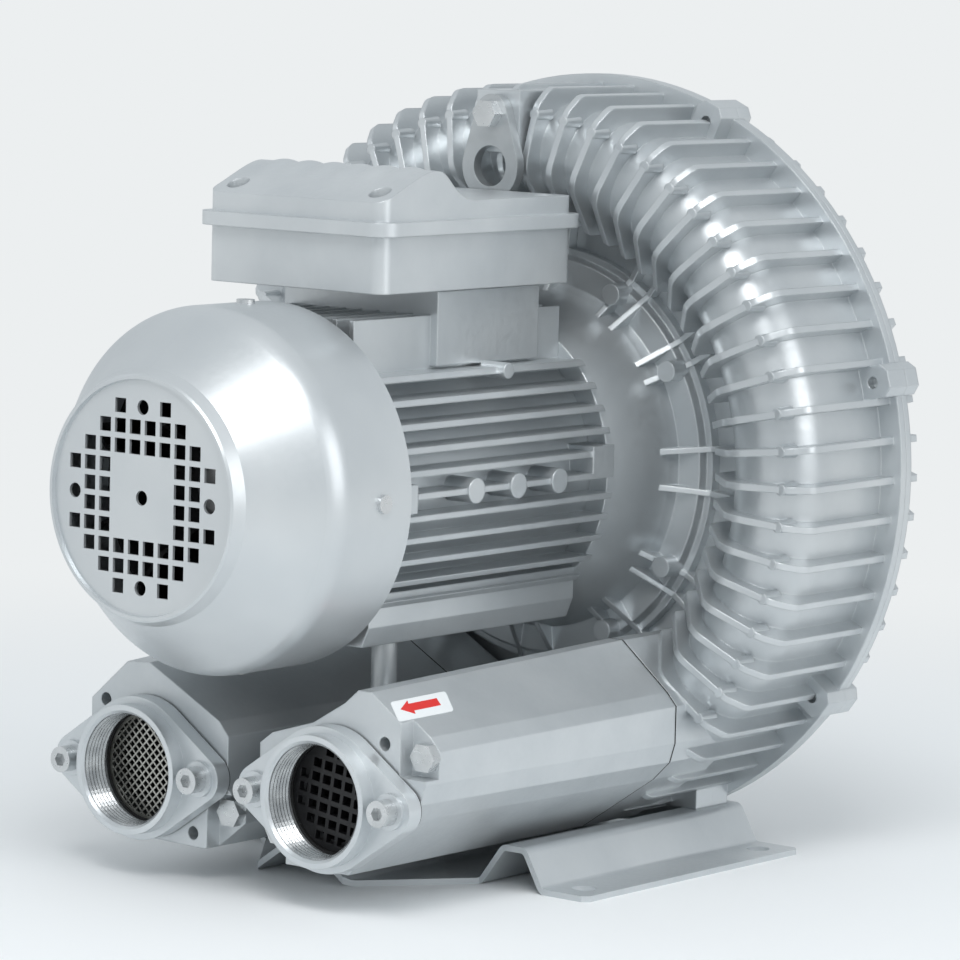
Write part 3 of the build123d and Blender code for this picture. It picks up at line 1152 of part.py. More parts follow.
def make_inlet_screen():
    """Wire mesh across the inlet, in the mouth of the silencer behind the thread."""
    x, z = -PORT_X, PORT_Z
    span = 2 * LINER_RADIUS
    wires = Pos(x, z) * (Circle(LINER_RADIUS) - Circle(LINER_RADIUS - SCREEN_RIM))
    for turn in (45.0, -45.0):
        for offset in spaced(SCREEN_WIRES, span / (SCREEN_WIRES + 1)):
            wires += Pos(x, z) * Rot(0, 0, turn) * Pos(0, offset) * Rectangle(span, SCREEN_WIRE)
    disc = Pos(x, z) * Circle(LINER_RADIUS)
    return slab(wires & disc, SILENCER_FRONT_Y, SILENCER_FRONT_Y + SCREEN_THICKNESS)


def make_outlet_insert():
    """Black disc with rows of square holes, in the mouth of the silencer behind the thread."""
    sheet = Pos(PORT_X, PORT_Z) * Circle(LINER_RADIUS)
    for row in spaced(INSERT_ROWS, INSERT_PITCH):
        for column in spaced(INSERT_ROWS, INSERT_PITCH):
            if math.hypot(row, column) < LINER_RADIUS - INSERT_PITCH / 2:
                sheet -= Pos(PORT_X, PORT_Z) * Rot(0, 0, INSERT_TURN) * Pos(column, row) * Rectangle(*INSERT_HOLE)
    return slab(sheet, SILENCER_FRONT_Y, LINER_FRONT_Y)


# Lifting eye and support post
def make_lifting_eye():
    """Hanging plate with a small bolted end above and a round eye below."""
    top = Pos(0, EYE_BOLT_Z) * Circle(EYE_BOLT_END_RADIUS)
    eye = Pos(0, EYE_HOLE_Z) * Circle(EYE_END_RADIUS)
    plate = slab(make_hull((top + eye).edges()), EYE_FRONT_Y, EYE_FRONT_Y + EYE_THICKNESS)
    plate -= rod(EYE_HOLE_RADIUS, EYE_FRONT_Y, EYE_FRONT_Y + EYE_THICKNESS, 0, EYE_HOLE_Z)
    return plate - rod(EYE_BOLT_SHANK, EYE_FRONT_Y, EYE_FRONT_Y + EYE_THICKNESS, 0, EYE_BOLT_Z)


def make_lifting_eye_bolt():
    head = hex_head(EYE_BOLT_HEAD, EYE_FRONT_Y - EYE_BOLT_HEAD_HEIGHT, EYE_FRONT_Y, 0, EYE_BOLT_Z)
    return head + rod(EYE_BOLT_SHANK, EYE_FRONT_Y, EYE_FRONT_Y + EYE_THICKNESS + 18.0, 0, EYE_BOLT_Z)


def make_support_post():
    """Round post that carries the motor on the outlet silencer."""
    return pillar(POST_RADIUS, POST_SEAT_Z, WEDGE_BOTTOM_Z, POST_X, POST_Y)


def make_housing_screws():
    screws = []
    for angle in LUG_ANGLES:
        head = lug_hole(LUG_SCREW_HEAD, LUG_REAR_Y, LUG_REAR_Y + LUG_SCREW_HEAD_HEIGHT)
        shank = lug_hole(LUG_SCREW_SHANK, LUG_FRONT_Y + LUG_SCREW_SETBACK, LUG_REAR_Y)
        screws.append(at_angle(head + shank, angle))
    return screws


def nodes():
    """Every piece of the blower, by name."""
    return {
        "base_plate": make_base_plate(),
        "foot_bolts": make_foot_bolts(),
        "housing_front": make_housing_front(),
        "housing_rear": make_housing_rear(),
        "housing_screws": make_housing_screws(),
        "drive_end_bell": make_bell(),
        "bell_screws": make_bell_screws(),
        "motor_frame": make_motor_frame(),
        "stator_core": make_stator_core(),
        "winding_heads": make_winding_heads(),
        "fan_end_shield": make_fan_end_shield(),
        "bearing_outer_rings": make_outer_rings(),
        "fan_cover": make_fan_cover(),
        "fan_cover_screws": make_cover_screws(),
        "box_gasket": make_box_gasket(),
        "terminal_box": make_terminal_box(),
        "terminal_lid": make_terminal_lid(),
        "lid_screws": make_lid_screws(),
        "cable_plug": make_cable_plug(),
        "terminal_block": make_terminal_block(),
        "terminal_studs": make_terminal_studs(),
        "silencer_outlet": make_silencer(1),
        "silencer_inlet": make_silencer(-1),
        "silencer_gasket_outlet": make_silencer_gasket(1),
        "silencer_gasket_inlet": make_silencer_gasket(-1),
        "silencer_bolts": make_silencer_bolts(),
        "liner_outlet": make_liner(1),
        "liner_inlet": make_liner(-1),
        "port_gasket_outlet": make_port_gasket(1),
        "port_gasket_inlet": make_port_gasket(-1),
        "port_flange_outlet": make_port_flange(1),
        "port_flange_inlet": make_port_flange(-1),
        "port_screws": make_port_screws(),
        "inlet_screen": make_inlet_screen(),
        "outlet_insert": make_outlet_insert(),
        "lifting_eye": make_lifting_eye(),
        "lifting_eye_bolt": make_lifting_eye_bolt(),
        "support_post": make_support_post(),
        "shaft": make_shaft(),
        "rotor_core": make_rotor_core(),
        "end_rings": make_end_rings(),
        "impeller": make_impeller(),
        "impeller_key": make_key(),
        "cap_washer": make_cap_washer(),
        "cap_bolt": make_cap_bolt(),
        "cooling_fan": make_cooling_fan(),
        "fan_clip": make_fan_clip(),
        "bearing_inner_rings": make_inner_rings(),
        "ball_cages": make_ball_cages(),
    }


os.makedirs("parts", exist_ok=True)
for name, shape in nodes().items():
    solids = shape if isinstance(shape, list) else [shape]
    piece = Compound(children=[solid for item in solids for solid in item.solids()])
    export_step(piece, f"parts/{name}.step")
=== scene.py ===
import math

import bmesh
import bpy
from bpy.props import FloatProperty, FloatVectorProperty, IntProperty, PointerProperty, StringProperty
from mathutils import Matrix, Vector
from mathutils.bvhtree import BVHTree


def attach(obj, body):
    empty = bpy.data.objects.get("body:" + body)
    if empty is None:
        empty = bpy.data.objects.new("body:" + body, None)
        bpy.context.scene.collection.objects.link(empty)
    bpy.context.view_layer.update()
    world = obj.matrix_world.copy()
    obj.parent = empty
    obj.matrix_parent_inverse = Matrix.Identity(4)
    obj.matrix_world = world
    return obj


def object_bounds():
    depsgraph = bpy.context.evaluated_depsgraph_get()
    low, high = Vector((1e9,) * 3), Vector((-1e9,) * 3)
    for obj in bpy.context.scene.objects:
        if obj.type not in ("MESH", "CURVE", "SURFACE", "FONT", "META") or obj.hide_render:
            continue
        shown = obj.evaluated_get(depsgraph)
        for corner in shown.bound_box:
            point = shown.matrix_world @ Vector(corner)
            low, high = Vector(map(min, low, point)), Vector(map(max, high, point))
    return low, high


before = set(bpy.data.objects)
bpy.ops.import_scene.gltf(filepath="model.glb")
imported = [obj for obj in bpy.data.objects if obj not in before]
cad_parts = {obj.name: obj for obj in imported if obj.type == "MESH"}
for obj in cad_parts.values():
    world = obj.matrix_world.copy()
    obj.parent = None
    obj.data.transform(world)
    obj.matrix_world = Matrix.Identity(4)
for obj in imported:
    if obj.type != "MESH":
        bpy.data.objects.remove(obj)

bl_info = {
    "name": "Side channel blower",
    "version": (1, 0, 0),
    "blender": (4, 5, 0),
    "location": "View3D > Sidebar > Blower",
    "description": "Finishes a side channel blower: paint, threads, label and studio",
    "category": "Object",
}

MM = 0.001
CAD_LOW, CAD_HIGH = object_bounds()

THREAD_FLANK = 0.42             # share of the pitch that a flank takes
THREAD_STEPS = 72               # facets in a turn of the thread
THREAD_SETBACK = 1.2 * MM       # from the ring's front face to the first crest
ABOVE_ALL = 0.6                 # height from which the lid's surface is looked for
RIDGE_EDGE_DEPTH = 0.15 * MM    # how far a ridge's edge sinks into the lid

# Which pieces share a finish.
HOUSING_PIECES = ("housing_front", "housing_rear", "drive_end_bell", "motor_frame", "fan_end_shield")
BOX_PIECES = ("terminal_box", "terminal_lid")
SILENCER_PIECES = ("silencer_outlet", "silencer_inlet")
PORT_PIECES = ("port_flange_outlet", "port_flange_inlet")
SCREW_PIECES = ("foot_bolts", "housing_screws", "bell_screws", "fan_cover_screws", "lid_screws", "silencer_bolts",
                "port_screws", "lifting_eye_bolt", "cap_bolt", "cap_washer")
GROUND_PIECES = ("shaft", "impeller_key", "fan_clip", "bearing_outer_rings", "bearing_inner_rings", "ball_cages")
RUBBER_PIECES = ("box_gasket", "silencer_gasket_outlet", "silencer_gasket_inlet", "port_gasket_outlet",
                 "port_gasket_inlet")
MOULDED_PIECES = ("cable_plug", "terminal_block", "cooling_fan", "outlet_insert")


def linear(hex_colour):
    """Linear colour of a six figure sRGB hex value."""
    parts = [int(hex_colour[i:i + 2], 16) / 255 for i in (0, 2, 4)]
    return tuple(c / 12.92 if c <= 0.04045 else ((c + 0.055) / 1.055) ** 2.4 for c in parts) + (1.0,)


def add_node(tree, kind, settings=None, links=None):
    """Adds a node, sets its fields and sockets, and links sockets to other nodes' outputs."""
    node = tree.nodes.new(kind)
    for name, value in (settings or {}).items():
        if isinstance(name, str) and hasattr(node, name):
            setattr(node, name, value)
        else:
            node.inputs[name].default_value = value
    for socket, source in (links or {}).items():
        tree.links.new(source, node.inputs[socket])
    return node


def new_material(name):
    """An empty node material, its tree and output, and the place on the piece."""
    material = bpy.data.materials.new(name)
    material.use_nodes = True
    tree = material.node_tree
    tree.nodes.clear()
    output = add_node(tree, "ShaderNodeOutputMaterial")
    place = add_node(tree, "ShaderNodeTexCoord").outputs["Object"]
    return material, tree, output, place


def grain(tree, place, size_mm, detail=2.0, stretch=(1.0, 1.0, 1.0)):
    """Noise whose lumps are about size_mm across."""
    mapping = add_node(tree, "ShaderNodeMapping", {"Scale": stretch}, {"Vector": place})
    noise = add_node(tree, "ShaderNodeTexNoise", {"Scale": 1000.0 / (2.0 * size_mm), "Detail": detail},
                     {"Vector": mapping.outputs["Vector"]})
    return noise.outputs["Fac"]


def between(tree, value, low, high):
    """A 0 to 1 value carried to the range low to high."""
    node = add_node(tree, "ShaderNodeMapRange", {"From Min": 0.3, "From Max": 0.7, "To Min": low, "To Max": high},
                    {"Value": value})
    return node.outputs["Result"]


def two_tone(tree, value, first, second):
    """Colour that goes from the first hex value to the second."""
    node = add_node(tree, "ShaderNodeMix", {"data_type": "RGBA"})
    node.inputs[6].default_value = linear(first)
    node.inputs[7].default_value = linear(second)
    tree.links.new(value, node.inputs[0])
    return node.outputs[2]


def coated_metal(name, tones, roughness, metallic, grain_mm, bump_mm, edge_mm, cloud_mm=25.0, coat=0.0):
    """Paint or bare metal with soft edges, a fine grain and a faint change of tone over it."""
    material, tree, output, place = new_material(name)
    clouds = between(tree, grain(tree, place, cloud_mm, 3.0), 0.0, 1.0)
    fine = grain(tree, place, grain_mm, 2.0)
    bump = add_node(tree, "ShaderNodeBump", {"Strength": 0.6, "Distance": bump_mm * MM}, {"Height": fine})
    if edge_mm:
        rounded = add_node(tree, "ShaderNodeBevel", {"samples": 4, "Radius": edge_mm * MM})
        tree.links.new(rounded.outputs["Normal"], bump.inputs["Normal"])
    shader = add_node(tree, "ShaderNodeBsdfPrincipled", {"Metallic": metallic, "Coat Weight": coat,
                                                         "Coat Roughness": 0.25},
                      {"Base Color": two_tone(tree, clouds, *tones),
                       "Roughness": between(tree, fine, *roughness),
                       "Normal": bump.outputs["Normal"]})
    tree.links.new(shader.outputs["BSDF"], output.inputs["Surface"])
    return material


def moulded(name, tones, roughness, grain_mm, bump_mm, edge_mm):
    """Plastic, rubber or foam with a fine grain."""
    return coated_metal(name, tones, roughness, 0.0, grain_mm, bump_mm, edge_mm)


def dress(names, material):
    """Gives CAD pieces their finish."""
    for name in names:
        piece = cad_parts[name]
        piece.data.materials.clear()
        piece.data.materials.append(material)


def finish_mesh(name, mesh, material, body):
    """Turns a bmesh into a piece that rides on a body."""
    bmesh.ops.recalc_face_normals(mesh, faces=mesh.faces)
    data = bpy.data.meshes.new(name)
    mesh.to_mesh(data)
    mesh.free()
    data.materials.append(material)
    piece = bpy.data.objects.new(name, data)
    bpy.context.scene.collection.objects.link(piece)
    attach(piece, body)
    return piece


def surface_of(name):
    """Search tree over a CAD piece's faces."""
    mesh = bmesh.new()
    mesh.from_mesh(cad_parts[name].data)
    tree = BVHTree.FromBMesh(mesh)
    mesh.free()
    return tree


class BlowerFinish(bpy.types.PropertyGroup):
    """Colours of the paint."""
    paint_light: StringProperty(name="Light paint tone", description="sRGB hex of the silver paint where it is light",
                                default="D3D7D9")
    paint_dark: StringProperty(name="Dark paint tone", description="sRGB hex of the silver paint where it is dark",
                               default="C5CACD")


class BlowerPorts(bpy.types.PropertyGroup):
    """Sizes of the two threaded ports."""
    spacing: FloatProperty(name="Half spacing", description="Distance of a port's centre from the middle",
                           default=0.0612, unit="LENGTH")
    height: FloatProperty(name="Height", description="Height of the ports' centres", default=0.055, unit="LENGTH")
    front: FloatProperty(name="Front", description="Y of the ring's front face", default=-0.210, unit="LENGTH")
    radius: FloatProperty(name="Bore radius", description="Radius of the bore that the thread stands in",
                          default=0.02833, unit="LENGTH")
    pitch: FloatProperty(name="Pitch", description="Distance from one thread crest to the next",
                         default=0.002309, unit="LENGTH")
    turns: IntProperty(name="Turns", description="Thread turns that are cut", default=6, min=1)


class BlowerLabel(bpy.types.PropertyGroup):
    """Place of the flow arrow's label."""
    corner: FloatVectorProperty(name="Corner", description="Front inner corner on the silencer's top face", size=3,
                                default=(0.0894, -0.1861, 0.1044), unit="LENGTH")
    along: FloatVectorProperty(name="Long side", description="From the front end to the rear end", size=3,
                               default=(0.0023, 0.0389, 0.0014), unit="LENGTH")
    across: FloatVectorProperty(name="Short side", description="From the inner to the outer side", size=3,
                                default=(0.0104, -0.0058, -0.0077), unit="LENGTH")


class BlowerLid(bpy.types.PropertyGroup):
    """Ridges on the crown of the terminal lid."""
    count: IntProperty(name="Ridges", description="How many ridges lie side by side", default=6, min=1)
    pitch: FloatProperty(name="Pitch", description="Distance between two ridges", default=0.0165, unit="LENGTH")
    width: FloatProperty(name="Width", description="Width of a ridge", default=0.0145, unit="LENGTH")
    length: FloatProperty(name="Length", description="Length of a ridge", default=0.044, unit="LENGTH")
    middle: FloatProperty(name="Middle", description="Y of the ridges' middle", default=-0.119, unit="LENGTH")
    rise: FloatProperty(name="Rise", description="Height of a ridge", default=0.0013, unit="LENGTH")


class BlowerFins(bpy.types.PropertyGroup):
    """Ejector pads on the cooling fins of the front housing."""
    count: IntProperty(name="Fins", description="Fins round the housing", default=60, min=1)
    axis_height: FloatProperty(name="Axis height", description="Height of the shaft", default=0.201, unit="LENGTH")
    pad_place: FloatProperty(name="Pad place", description="Distance of a pad from the shaft", default=0.180,
                             unit="LENGTH")
    pad_radius: FloatProperty(name="Pad radius", description="Radius of a pad", default=0.0036, unit="LENGTH")
    pad_front: FloatProperty(name="Pad front", description="Y of a pad's front end", default=0.0040, unit="LENGTH")
    pad_length: FloatProperty(name="Pad length", description="Length of a pad", default=0.012, unit="LENGTH")
    half_thickness: FloatProperty(name="Half thickness", description="Half the thickness of a fin", default=0.0018,
                                  unit="LENGTH")


class BlowerStage(bpy.types.PropertyGroup):
    """Camera and light."""
    eye: FloatVectorProperty(name="Camera place", description="Where the camera stands", size=3,
                             default=(1.5633, -1.9624, 0.4777), unit="LENGTH")
    aim: FloatVectorProperty(name="Camera aim", description="Point that the camera looks at", size=3,
                             default=(0.0111, -0.0234, 0.1927), unit="LENGTH")
    roll: FloatProperty(name="Camera roll", description="Turn of the camera about its own line of sight",
                        default=0.0246, unit="ROTATION")
    lens: FloatProperty(name="Lens", description="Focal length in millimetres on a 36 mm sensor", default=182.5)
    key_power: FloatProperty(name="Key light", description="Power of the main soft light in watts", default=24.0)
    backdrop: StringProperty(name="Backdrop", description="sRGB hex of the plain backdrop", default="ECEFF0")


class BLOWER_OT_castings(bpy.types.Operator):
    """Paint the housing, motor, terminal box, silencers and ports"""
    bl_idname = "blower.castings"
    bl_label = "Finish the castings"

    def execute(self, context):
        tones = (context.scene.blower_finish.paint_dark, context.scene.blower_finish.paint_light)
        # Silver lacquer over aluminium die casting: satin, with a slight orange peel.
        paint = coated_metal("silver_paint_on_die_cast_aluminium", tones, (0.29, 0.39), 0.7, 1.4, 0.02, 1.2)
        dress(HOUSING_PIECES, paint)
        # The same lacquer over pressure die cast covers, a little smoother.
        box = coated_metal("silver_paint_on_box_casting", tones, (0.34, 0.44), 0.6, 1.4, 0.02, 1.0)
        dress(BOX_PIECES, box)
        # Sand cast silencers: the sand's grain shows through the paint.
        sand = coated_metal("silver_paint_on_sand_cast_aluminium", tones, (0.34, 0.46), 0.62, 1.3, 0.035, 1.2)
        dress(SILENCER_PIECES, sand)
        # Port rings turned from the casting and painted: a cleaner, shinier face.
        turned = coated_metal("silver_paint_on_turned_aluminium", ("CBD0D3", "D9DDDF"), (0.28, 0.38), 0.65, 1.2, 0.008,
                              0.6)
        dress(PORT_PIECES, turned)
        # Impeller and cage rings as cast: bare grey aluminium.
        bare = coated_metal("as_cast_aluminium", ("9A9D9F", "B0B3B5"), (0.4, 0.55), 0.95, 0.9, 0.08, 0.6)
        dress(("impeller", "end_rings"), bare)
        return {"FINISHED"}


class BLOWER_OT_sheet_metal(bpy.types.Operator):
    """Paint the fan cover and the base plate"""
    bl_idname = "blower.sheet_metal"
    bl_label = "Finish the sheet metal"

    def execute(self, context):
        tones = (context.scene.blower_finish.paint_dark, context.scene.blower_finish.paint_light)
        # Deep drawn steel sheet with the same lacquer: the smoothest surface of the machine.
        drawn = coated_metal("silver_paint_on_drawn_steel", tones, (0.31, 0.37), 0.6, 1.2, 0.006, 0.0, 40.0)
        dress(("fan_cover",), drawn)
        # Bent steel plate, painted, with a little more texture.
        bent = coated_metal("silver_paint_on_bent_steel", tones, (0.34, 0.44), 0.6, 1.4, 0.015, 0.0, 30.0)
        dress(("base_plate",), bent)
        return {"FINISHED"}


class BLOWER_OT_hardware(bpy.types.Operator):
    """Finish the screws, eye plate, post, wire and inner steel"""
    bl_idname = "blower.hardware"
    bl_label = "Finish the hardware"

    def execute(self, context):
        # Zinc plated screws under a thin mist of the silver lacquer.
        zinc = coated_metal("bright_zinc_plate", ("C4C7C8", "D8DADB"), (0.26, 0.34), 0.85, 1.2, 0.004, 0.0, 6.0)
        dress(SCREW_PIECES, zinc)
        plate = coated_metal("painted_steel_plate", ("A9ADAF", "BFC3C5"), (0.34, 0.44), 0.75, 1.2, 0.015, 0.6, 12.0)
        dress(("lifting_eye", "support_post"), plate)
        wire = coated_metal("stainless_wire", ("9B9A94", "BDBCB6"), (0.3, 0.42), 1.0, 0.3, 0.02, 0.2, 3.0)
        dress(("inlet_screen",), wire)
        # Ground shaft and bearing steel: fine bright grinding.
        ground = coated_metal("ground_bearing_steel", ("A7A8AA", "C9CACC"), (0.16, 0.26), 1.0, 0.2, 0.01, 0.3, 8.0)
        dress(GROUND_PIECES, ground)
        # Stacked electrical steel: dark, with the edges of the sheets.
        stacked = coated_metal("stacked_electrical_steel", ("4A4B4E", "66686B"), (0.4, 0.55), 0.9, 0.5, 0.08, 0.3, 9.0)
        dress(("stator_core", "rotor_core"), stacked)
        return {"FINISHED"}


class BLOWER_OT_inner_pieces(bpy.types.Operator):
    """Finish the windings, terminals, gaskets, liners and plastic pieces"""
    bl_idname = "blower.inner_pieces"
    bl_label = "Finish the inner pieces"

    def execute(self, context):
        # Varnished copper wire, wound and tied.
        copper = coated_metal("varnished_copper_wire", ("8A4520", "B8683A"), (0.25, 0.4), 0.7, 0.9, 0.3, 0.4, 5.0)
        dress(("winding_heads",), copper)
        brass = coated_metal("turned_brass", ("B08D4A", "CFAE68"), (0.2, 0.3), 1.0, 0.3, 0.02, 0.3, 5.0)
        dress(("terminal_studs",), brass)
        nylon = moulded("moulded_black_nylon", ("0E0E10", "1B1B1D"), (0.38, 0.5), 0.8, 0.04, 0.5)
        dress(MOULDED_PIECES, nylon)
        rubber = moulded("pressed_black_rubber", ("101011", "1C1C1D"), (0.6, 0.75), 0.6, 0.05, 0.2)
        dress(RUBBER_PIECES, rubber)
        foam = moulded("open_cell_foam", ("202123", "3A3B3D"), (0.85, 0.95), 1.4, 0.5, 0.2)
        dress(("liner_outlet", "liner_inlet"), foam)
        return {"FINISHED"}


class BLOWER_OT_port_threads(bpy.types.Operator):
    """Cut the pipe thread in both ports"""
    bl_idname = "blower.port_threads"
    bl_label = "Cut the port threads"

    def execute(self, context):
        ports = context.scene.blower_ports
        # Cut thread: bright crests where the tool went through the paint.
        metal = coated_metal("cut_aluminium_thread", ("9EA1A3", "C2C5C6"), (0.2, 0.32), 0.95, 0.3, 0.02, 0.2, 4.0)
        for side, word in ((1, "outlet"), (-1, "inlet")):
            mesh = bmesh.new()
            flank = ports.pitch * THREAD_FLANK
            profile = [(ports.radius, 0.0), (ports.radius - flank, flank),
                       (ports.radius - flank, ports.pitch - flank), (ports.radius, ports.pitch)]
            centre = Vector((side * ports.spacing, 0.0, ports.height))
            start = ports.front + THREAD_SETBACK
            verts = [mesh.verts.new(centre + Vector((r, start + y, 0.0))) for r, y in profile]
            edges = [mesh.edges.new(pair) for pair in zip(verts, verts[1:])]
            bmesh.ops.spin(mesh, geom=verts + edges, cent=centre, axis=(0.0, 1.0, 0.0),
                           dvec=(0.0, ports.pitch / THREAD_STEPS, 0.0), angle=2.0 * math.pi * ports.turns,
                           steps=THREAD_STEPS * ports.turns, use_merge=False, use_duplicate=False)
            bmesh.ops.remove_doubles(mesh, verts=mesh.verts, dist=1e-6)
            piece = finish_mesh(f"port_thread_{word}", mesh, metal, "root")
            for face in piece.data.polygons:
                face.use_smooth = False
        return {"FINISHED"}


class BLOWER_OT_label(bpy.types.Operator):
    """Stick the flow arrow on the outlet silencer"""
    bl_idname = "blower.label"
    bl_label = "Stick on the flow arrow"

    def execute(self, context):
        place = context.scene.blower_label
        corner = Vector(place.corner)
        along = Vector(place.along)
        across = Vector(place.across)
        # Printed vinyl film: plain white with a slight gloss, and red ink on it.
        white = moulded("white_vinyl_film", ("E6EAEC", "EEF1F2"), (0.3, 0.36), 1.5, 0.004, 0.0)
        red = moulded("red_printed_ink", ("D8322E", "E03A35"), (0.3, 0.36), 1.5, 0.004, 0.0)
        sheet = ((0.0, 0.0), (1.0, 0.0), (1.0, 1.0), (0.0, 1.0))
        arrow = ((0.117, 0.435), (0.294, 0.08), (0.29, 0.25), (0.80, 0.25), (0.825, 0.62), (0.34, 0.62),
                 (0.335, 0.79))
        self.film("flow_label", [corner + along * s + across * t for s, t in sheet], white, -0.4, 0.25, 1.6)
        self.film("flow_arrow", [corner + along * s + across * t for s, t in arrow], red, -0.1, 0.30, 0.0)
        return {"FINISHED"}

    def film(self, name, outline, material, under_mm, over_mm, corner_mm):
        """A flat shape from under_mm below to over_mm above the plane of its outline."""
        mesh = bmesh.new()
        mesh.faces.new([mesh.verts.new(point) for point in outline])
        if corner_mm:
            bmesh.ops.bevel(mesh, geom=mesh.verts[:], offset=corner_mm * MM, segments=4, profile=0.5,
                            affect="VERTICES", material=-1)
        mesh.normal_update()
        normal = mesh.faces[:][0].normal
        normal = normal if normal.z > 0 else -normal
        bmesh.ops.translate(mesh, verts=mesh.verts[:], vec=normal * under_mm * MM)
        raised = bmesh.ops.extrude_face_region(mesh, geom=mesh.faces[:], use_keep_orig=True)
        tops = [item for item in raised["geom"] if isinstance(item, bmesh.types.BMVert)]
        bmesh.ops.translate(mesh, verts=tops, vec=normal * (over_mm - under_mm) * MM)
        finish_mesh(name, mesh, material, "root")


class BLOWER_OT_lid_ridges(bpy.types.Operator):
    """Press the shallow ridges into the terminal lid"""
    bl_idname = "blower.lid_ridges"
    bl_label = "Shape the lid's ridges"

    def execute(self, context):
        lid = context.scene.blower_lid
        target = surface_of("terminal_lid")
        paint = bpy.data.materials["silver_paint_on_box_casting"]
        for number in range(lid.count):
            centre = (number - (lid.count - 1) / 2) * lid.pitch
            mesh = bmesh.new()
            bmesh.ops.create_grid(mesh, x_segments=12, y_segments=24, size=0.5)
            for vert in mesh.verts:
                u, v = vert.co.x * 2, vert.co.y * 2
                rise = math.cos(u * math.pi / 2) * math.cos(v * math.pi / 2) ** 0.5 if abs(v) < 1 else 0.0
                point = Vector((centre + u * lid.width / 2, lid.middle + v * lid.length / 2, ABOVE_ALL))
                hit = target.ray_cast(point, Vector((0.0, 0.0, -1.0)))[0]
                vert.co = hit + Vector((0.0, 0.0, lid.rise * rise - RIDGE_EDGE_DEPTH))
            finish_mesh(f"lid_ridge_{number + 1}", mesh, paint, "root")
        return {"FINISHED"}


class BLOWER_OT_fin_pads(bpy.types.Operator):
    """Add the round ejector pads on the front fins"""
    bl_idname = "blower.fin_pads"
    bl_label = "Add the fins' ejector pads"

    def execute(self, context):
        fins = context.scene.blower_fins
        paint = bpy.data.materials["silver_paint_on_die_cast_aluminium"]
        casting = surface_of("housing_front")
        mesh = bmesh.new()
        for number in range(fins.count):
            angle = 2.0 * math.pi * number / fins.count
            if not self.stands_on_fin(casting, fins, angle):
                continue
            made = bmesh.ops.create_cone(mesh, cap_ends=True, segments=14, radius1=fins.pad_radius,
                                         radius2=fins.pad_radius * 0.8, depth=fins.pad_length)
            turn = Matrix.Translation((0.0, 0.0, fins.axis_height)) @ Matrix.Rotation(-angle, 4, "Y")
            place = Matrix.Translation((fins.pad_place, fins.pad_front + fins.pad_length / 2, 0.0))
            bmesh.ops.transform(mesh, verts=made["verts"], matrix=turn @ place @ Matrix.Rotation(math.pi / 2, 4, "X"))
        finish_mesh("fin_ejector_pads", mesh, paint, "root")
        return {"FINISHED"}

    def stands_on_fin(self, casting, fins, angle):
        """True where a fin's two sides lie close on both sides of the pad's middle."""
        across = Vector((-math.sin(angle), 0.0, math.cos(angle)))
        middle = Vector((fins.pad_place * math.cos(angle), fins.pad_front + fins.pad_length / 2,
                         fins.axis_height + fins.pad_place * math.sin(angle)))
        for way in (across, -across):
            place, normal = casting.ray_cast(middle, way, fins.half_thickness * 1.2)[:2]
            if place is None or normal.dot(way) < 0.0:
                return False
        return True


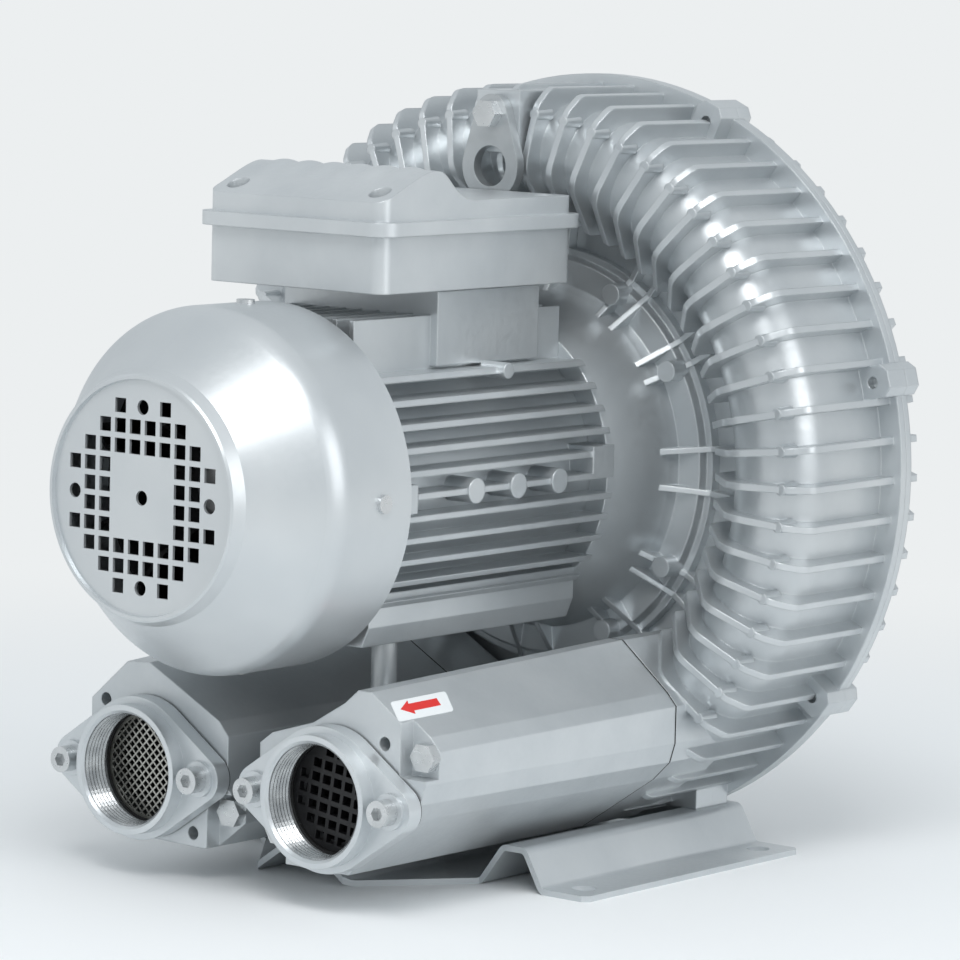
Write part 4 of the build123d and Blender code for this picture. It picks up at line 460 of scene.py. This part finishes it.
class BLOWER_OT_stage(bpy.types.Operator):
    """Make the floor, the lights and the camera"""
    bl_idname = "blower.stage"
    bl_label = "Make the studio"

    def execute(self, context):
        stage = context.scene.blower_stage
        scene = context.scene
        # Matt white paper, which fades into the plain backdrop away from the blower.
        material, tree, output, place = new_material("matt_white_paper")
        paper = add_node(tree, "ShaderNodeBsdfPrincipled", {"Base Color": linear("F3F5F6"), "Roughness": 0.9})
        backdrop = add_node(tree, "ShaderNodeEmission", {"Color": linear(stage.backdrop), "Strength": 1.0})
        reach = add_node(tree, "ShaderNodeVectorMath", {"operation": "LENGTH"}, {0: place})
        fade = add_node(tree, "ShaderNodeMapRange", {"interpolation_type": "SMOOTHSTEP", "From Min": 0.35,
                                                     "From Max": 1.1}, {"Value": reach.outputs["Value"]})
        shader = add_node(tree, "ShaderNodeMixShader", None,
                          {0: fade.outputs["Result"], 1: paper.outputs["BSDF"], 2: backdrop.outputs["Emission"]})
        tree.links.new(shader.outputs["Shader"], output.inputs["Surface"])
        mesh = bmesh.new()
        bmesh.ops.create_grid(mesh, x_segments=1, y_segments=1, size=6.0,
                              matrix=Matrix.Translation((0.0, 0.0, CAD_LOW.z)))
        data = bpy.data.meshes.new("floor")
        mesh.to_mesh(data)
        mesh.free()
        data.materials.append(material)
        floor = bpy.data.objects.new("floor", data)
        scene.collection.objects.link(floor)

        camera = bpy.data.objects.new("camera", bpy.data.cameras.new("camera"))
        scene.collection.objects.link(camera)
        eye, aim = Vector(stage.eye), Vector(stage.aim)
        turn = (aim - eye).to_track_quat("-Z", "Y").to_matrix().to_4x4()
        camera.matrix_world = Matrix.Translation(eye) @ turn @ Matrix.Rotation(stage.roll, 4, "Z")
        camera.data.lens = stage.lens
        camera.data.sensor_width = 36.0
        camera.data.clip_start, camera.data.clip_end = 0.05, 50.0
        scene.camera = camera

        self.lamp(scene, "key", (0.9, -1.3, 2.0), stage.key_power, 1.1)
        self.lamp(scene, "left", (-1.9, -0.9, 1.1), stage.key_power * 0.12, 1.6)
        self.lamp(scene, "right", (2.2, 0.1, 0.9), stage.key_power * 0.45, 1.4)
        self.world(scene)
        scene.view_settings.view_transform = "Standard"
        return {"FINISHED"}

    def lamp(self, scene, name, place, power, size):
        """A square soft light that faces the blower."""
        light = bpy.data.lights.new(name, "AREA")
        light.energy, light.size = power, size
        lamp = bpy.data.objects.new(name, light)
        scene.collection.objects.link(lamp)
        aim = Vector((0.0, 0.0, 0.2)) - Vector(place)
        lamp.matrix_world = Matrix.Translation(place) @ aim.to_track_quat("-Z", "Y").to_matrix().to_4x4()

    def world(self, scene):
        """Pale room light, and plain white where the camera sees past the floor."""
        world = bpy.data.worlds.new("studio")
        world.use_nodes = True
        scene.world = world
        tree = world.node_tree
        tree.nodes.clear()
        path = add_node(tree, "ShaderNodeLightPath")
        seen = add_node(tree, "ShaderNodeBackground", {"Color": linear(scene.blower_stage.backdrop), "Strength": 1.0})
        room = add_node(tree, "ShaderNodeBackground", {"Color": linear("E9EFF3"), "Strength": 0.74})
        mix = add_node(tree, "ShaderNodeMixShader", None,
                       {0: path.outputs["Is Camera Ray"], 1: room.outputs[0], 2: seen.outputs[0]})
        output = add_node(tree, "ShaderNodeOutputWorld")
        tree.links.new(mix.outputs[0], output.inputs["Surface"])


class BLOWER_PT_panel(bpy.types.Panel):
    """Sidebar panel with the blower's sizes and steps"""
    bl_idname = "BLOWER_PT_panel"
    bl_label = "Side channel blower"
    bl_space_type = "VIEW_3D"
    bl_region_type = "UI"
    bl_category = "Blower"

    def draw(self, context):
        for group in (getattr(context.scene, name) for name in SCENE_GROUPS):
            for name in group.bl_rna.properties.keys():
                if name not in {"rna_type", "name"}:
                    self.layout.prop(group, name)
        for step in STEPS:
            self.layout.operator(step.bl_idname)


STEPS = (BLOWER_OT_castings, BLOWER_OT_sheet_metal, BLOWER_OT_hardware, BLOWER_OT_inner_pieces,
         BLOWER_OT_port_threads, BLOWER_OT_label, BLOWER_OT_lid_ridges, BLOWER_OT_fin_pads, BLOWER_OT_stage)
GROUPS = (BlowerFinish, BlowerPorts, BlowerLabel, BlowerLid, BlowerFins, BlowerStage)
SCENE_GROUPS = {"blower_finish": BlowerFinish, "blower_ports": BlowerPorts, "blower_label": BlowerLabel,
                "blower_lid": BlowerLid, "blower_fins": BlowerFins, "blower_stage": BlowerStage}


def register():
    for entry in GROUPS + STEPS + (BLOWER_PT_panel,):
        bpy.utils.register_class(entry)
    for name, group in SCENE_GROUPS.items():
        setattr(bpy.types.Scene, name, PointerProperty(type=group))


def unregister():
    for name in SCENE_GROUPS:
        delattr(bpy.types.Scene, name)
    for entry in reversed(GROUPS + STEPS + (BLOWER_PT_panel,)):
        bpy.utils.unregister_class(entry)


def main():
    """Runs every step in order."""
    register()
    bpy.ops.blower.castings()
    bpy.ops.blower.sheet_metal()
    bpy.ops.blower.hardware()
    bpy.ops.blower.inner_pieces()
    bpy.ops.blower.port_threads()
    bpy.ops.blower.label()
    bpy.ops.blower.lid_ridges()
    bpy.ops.blower.fin_pads()
    bpy.ops.blower.stage()


if __name__ == "__main__":
    main()
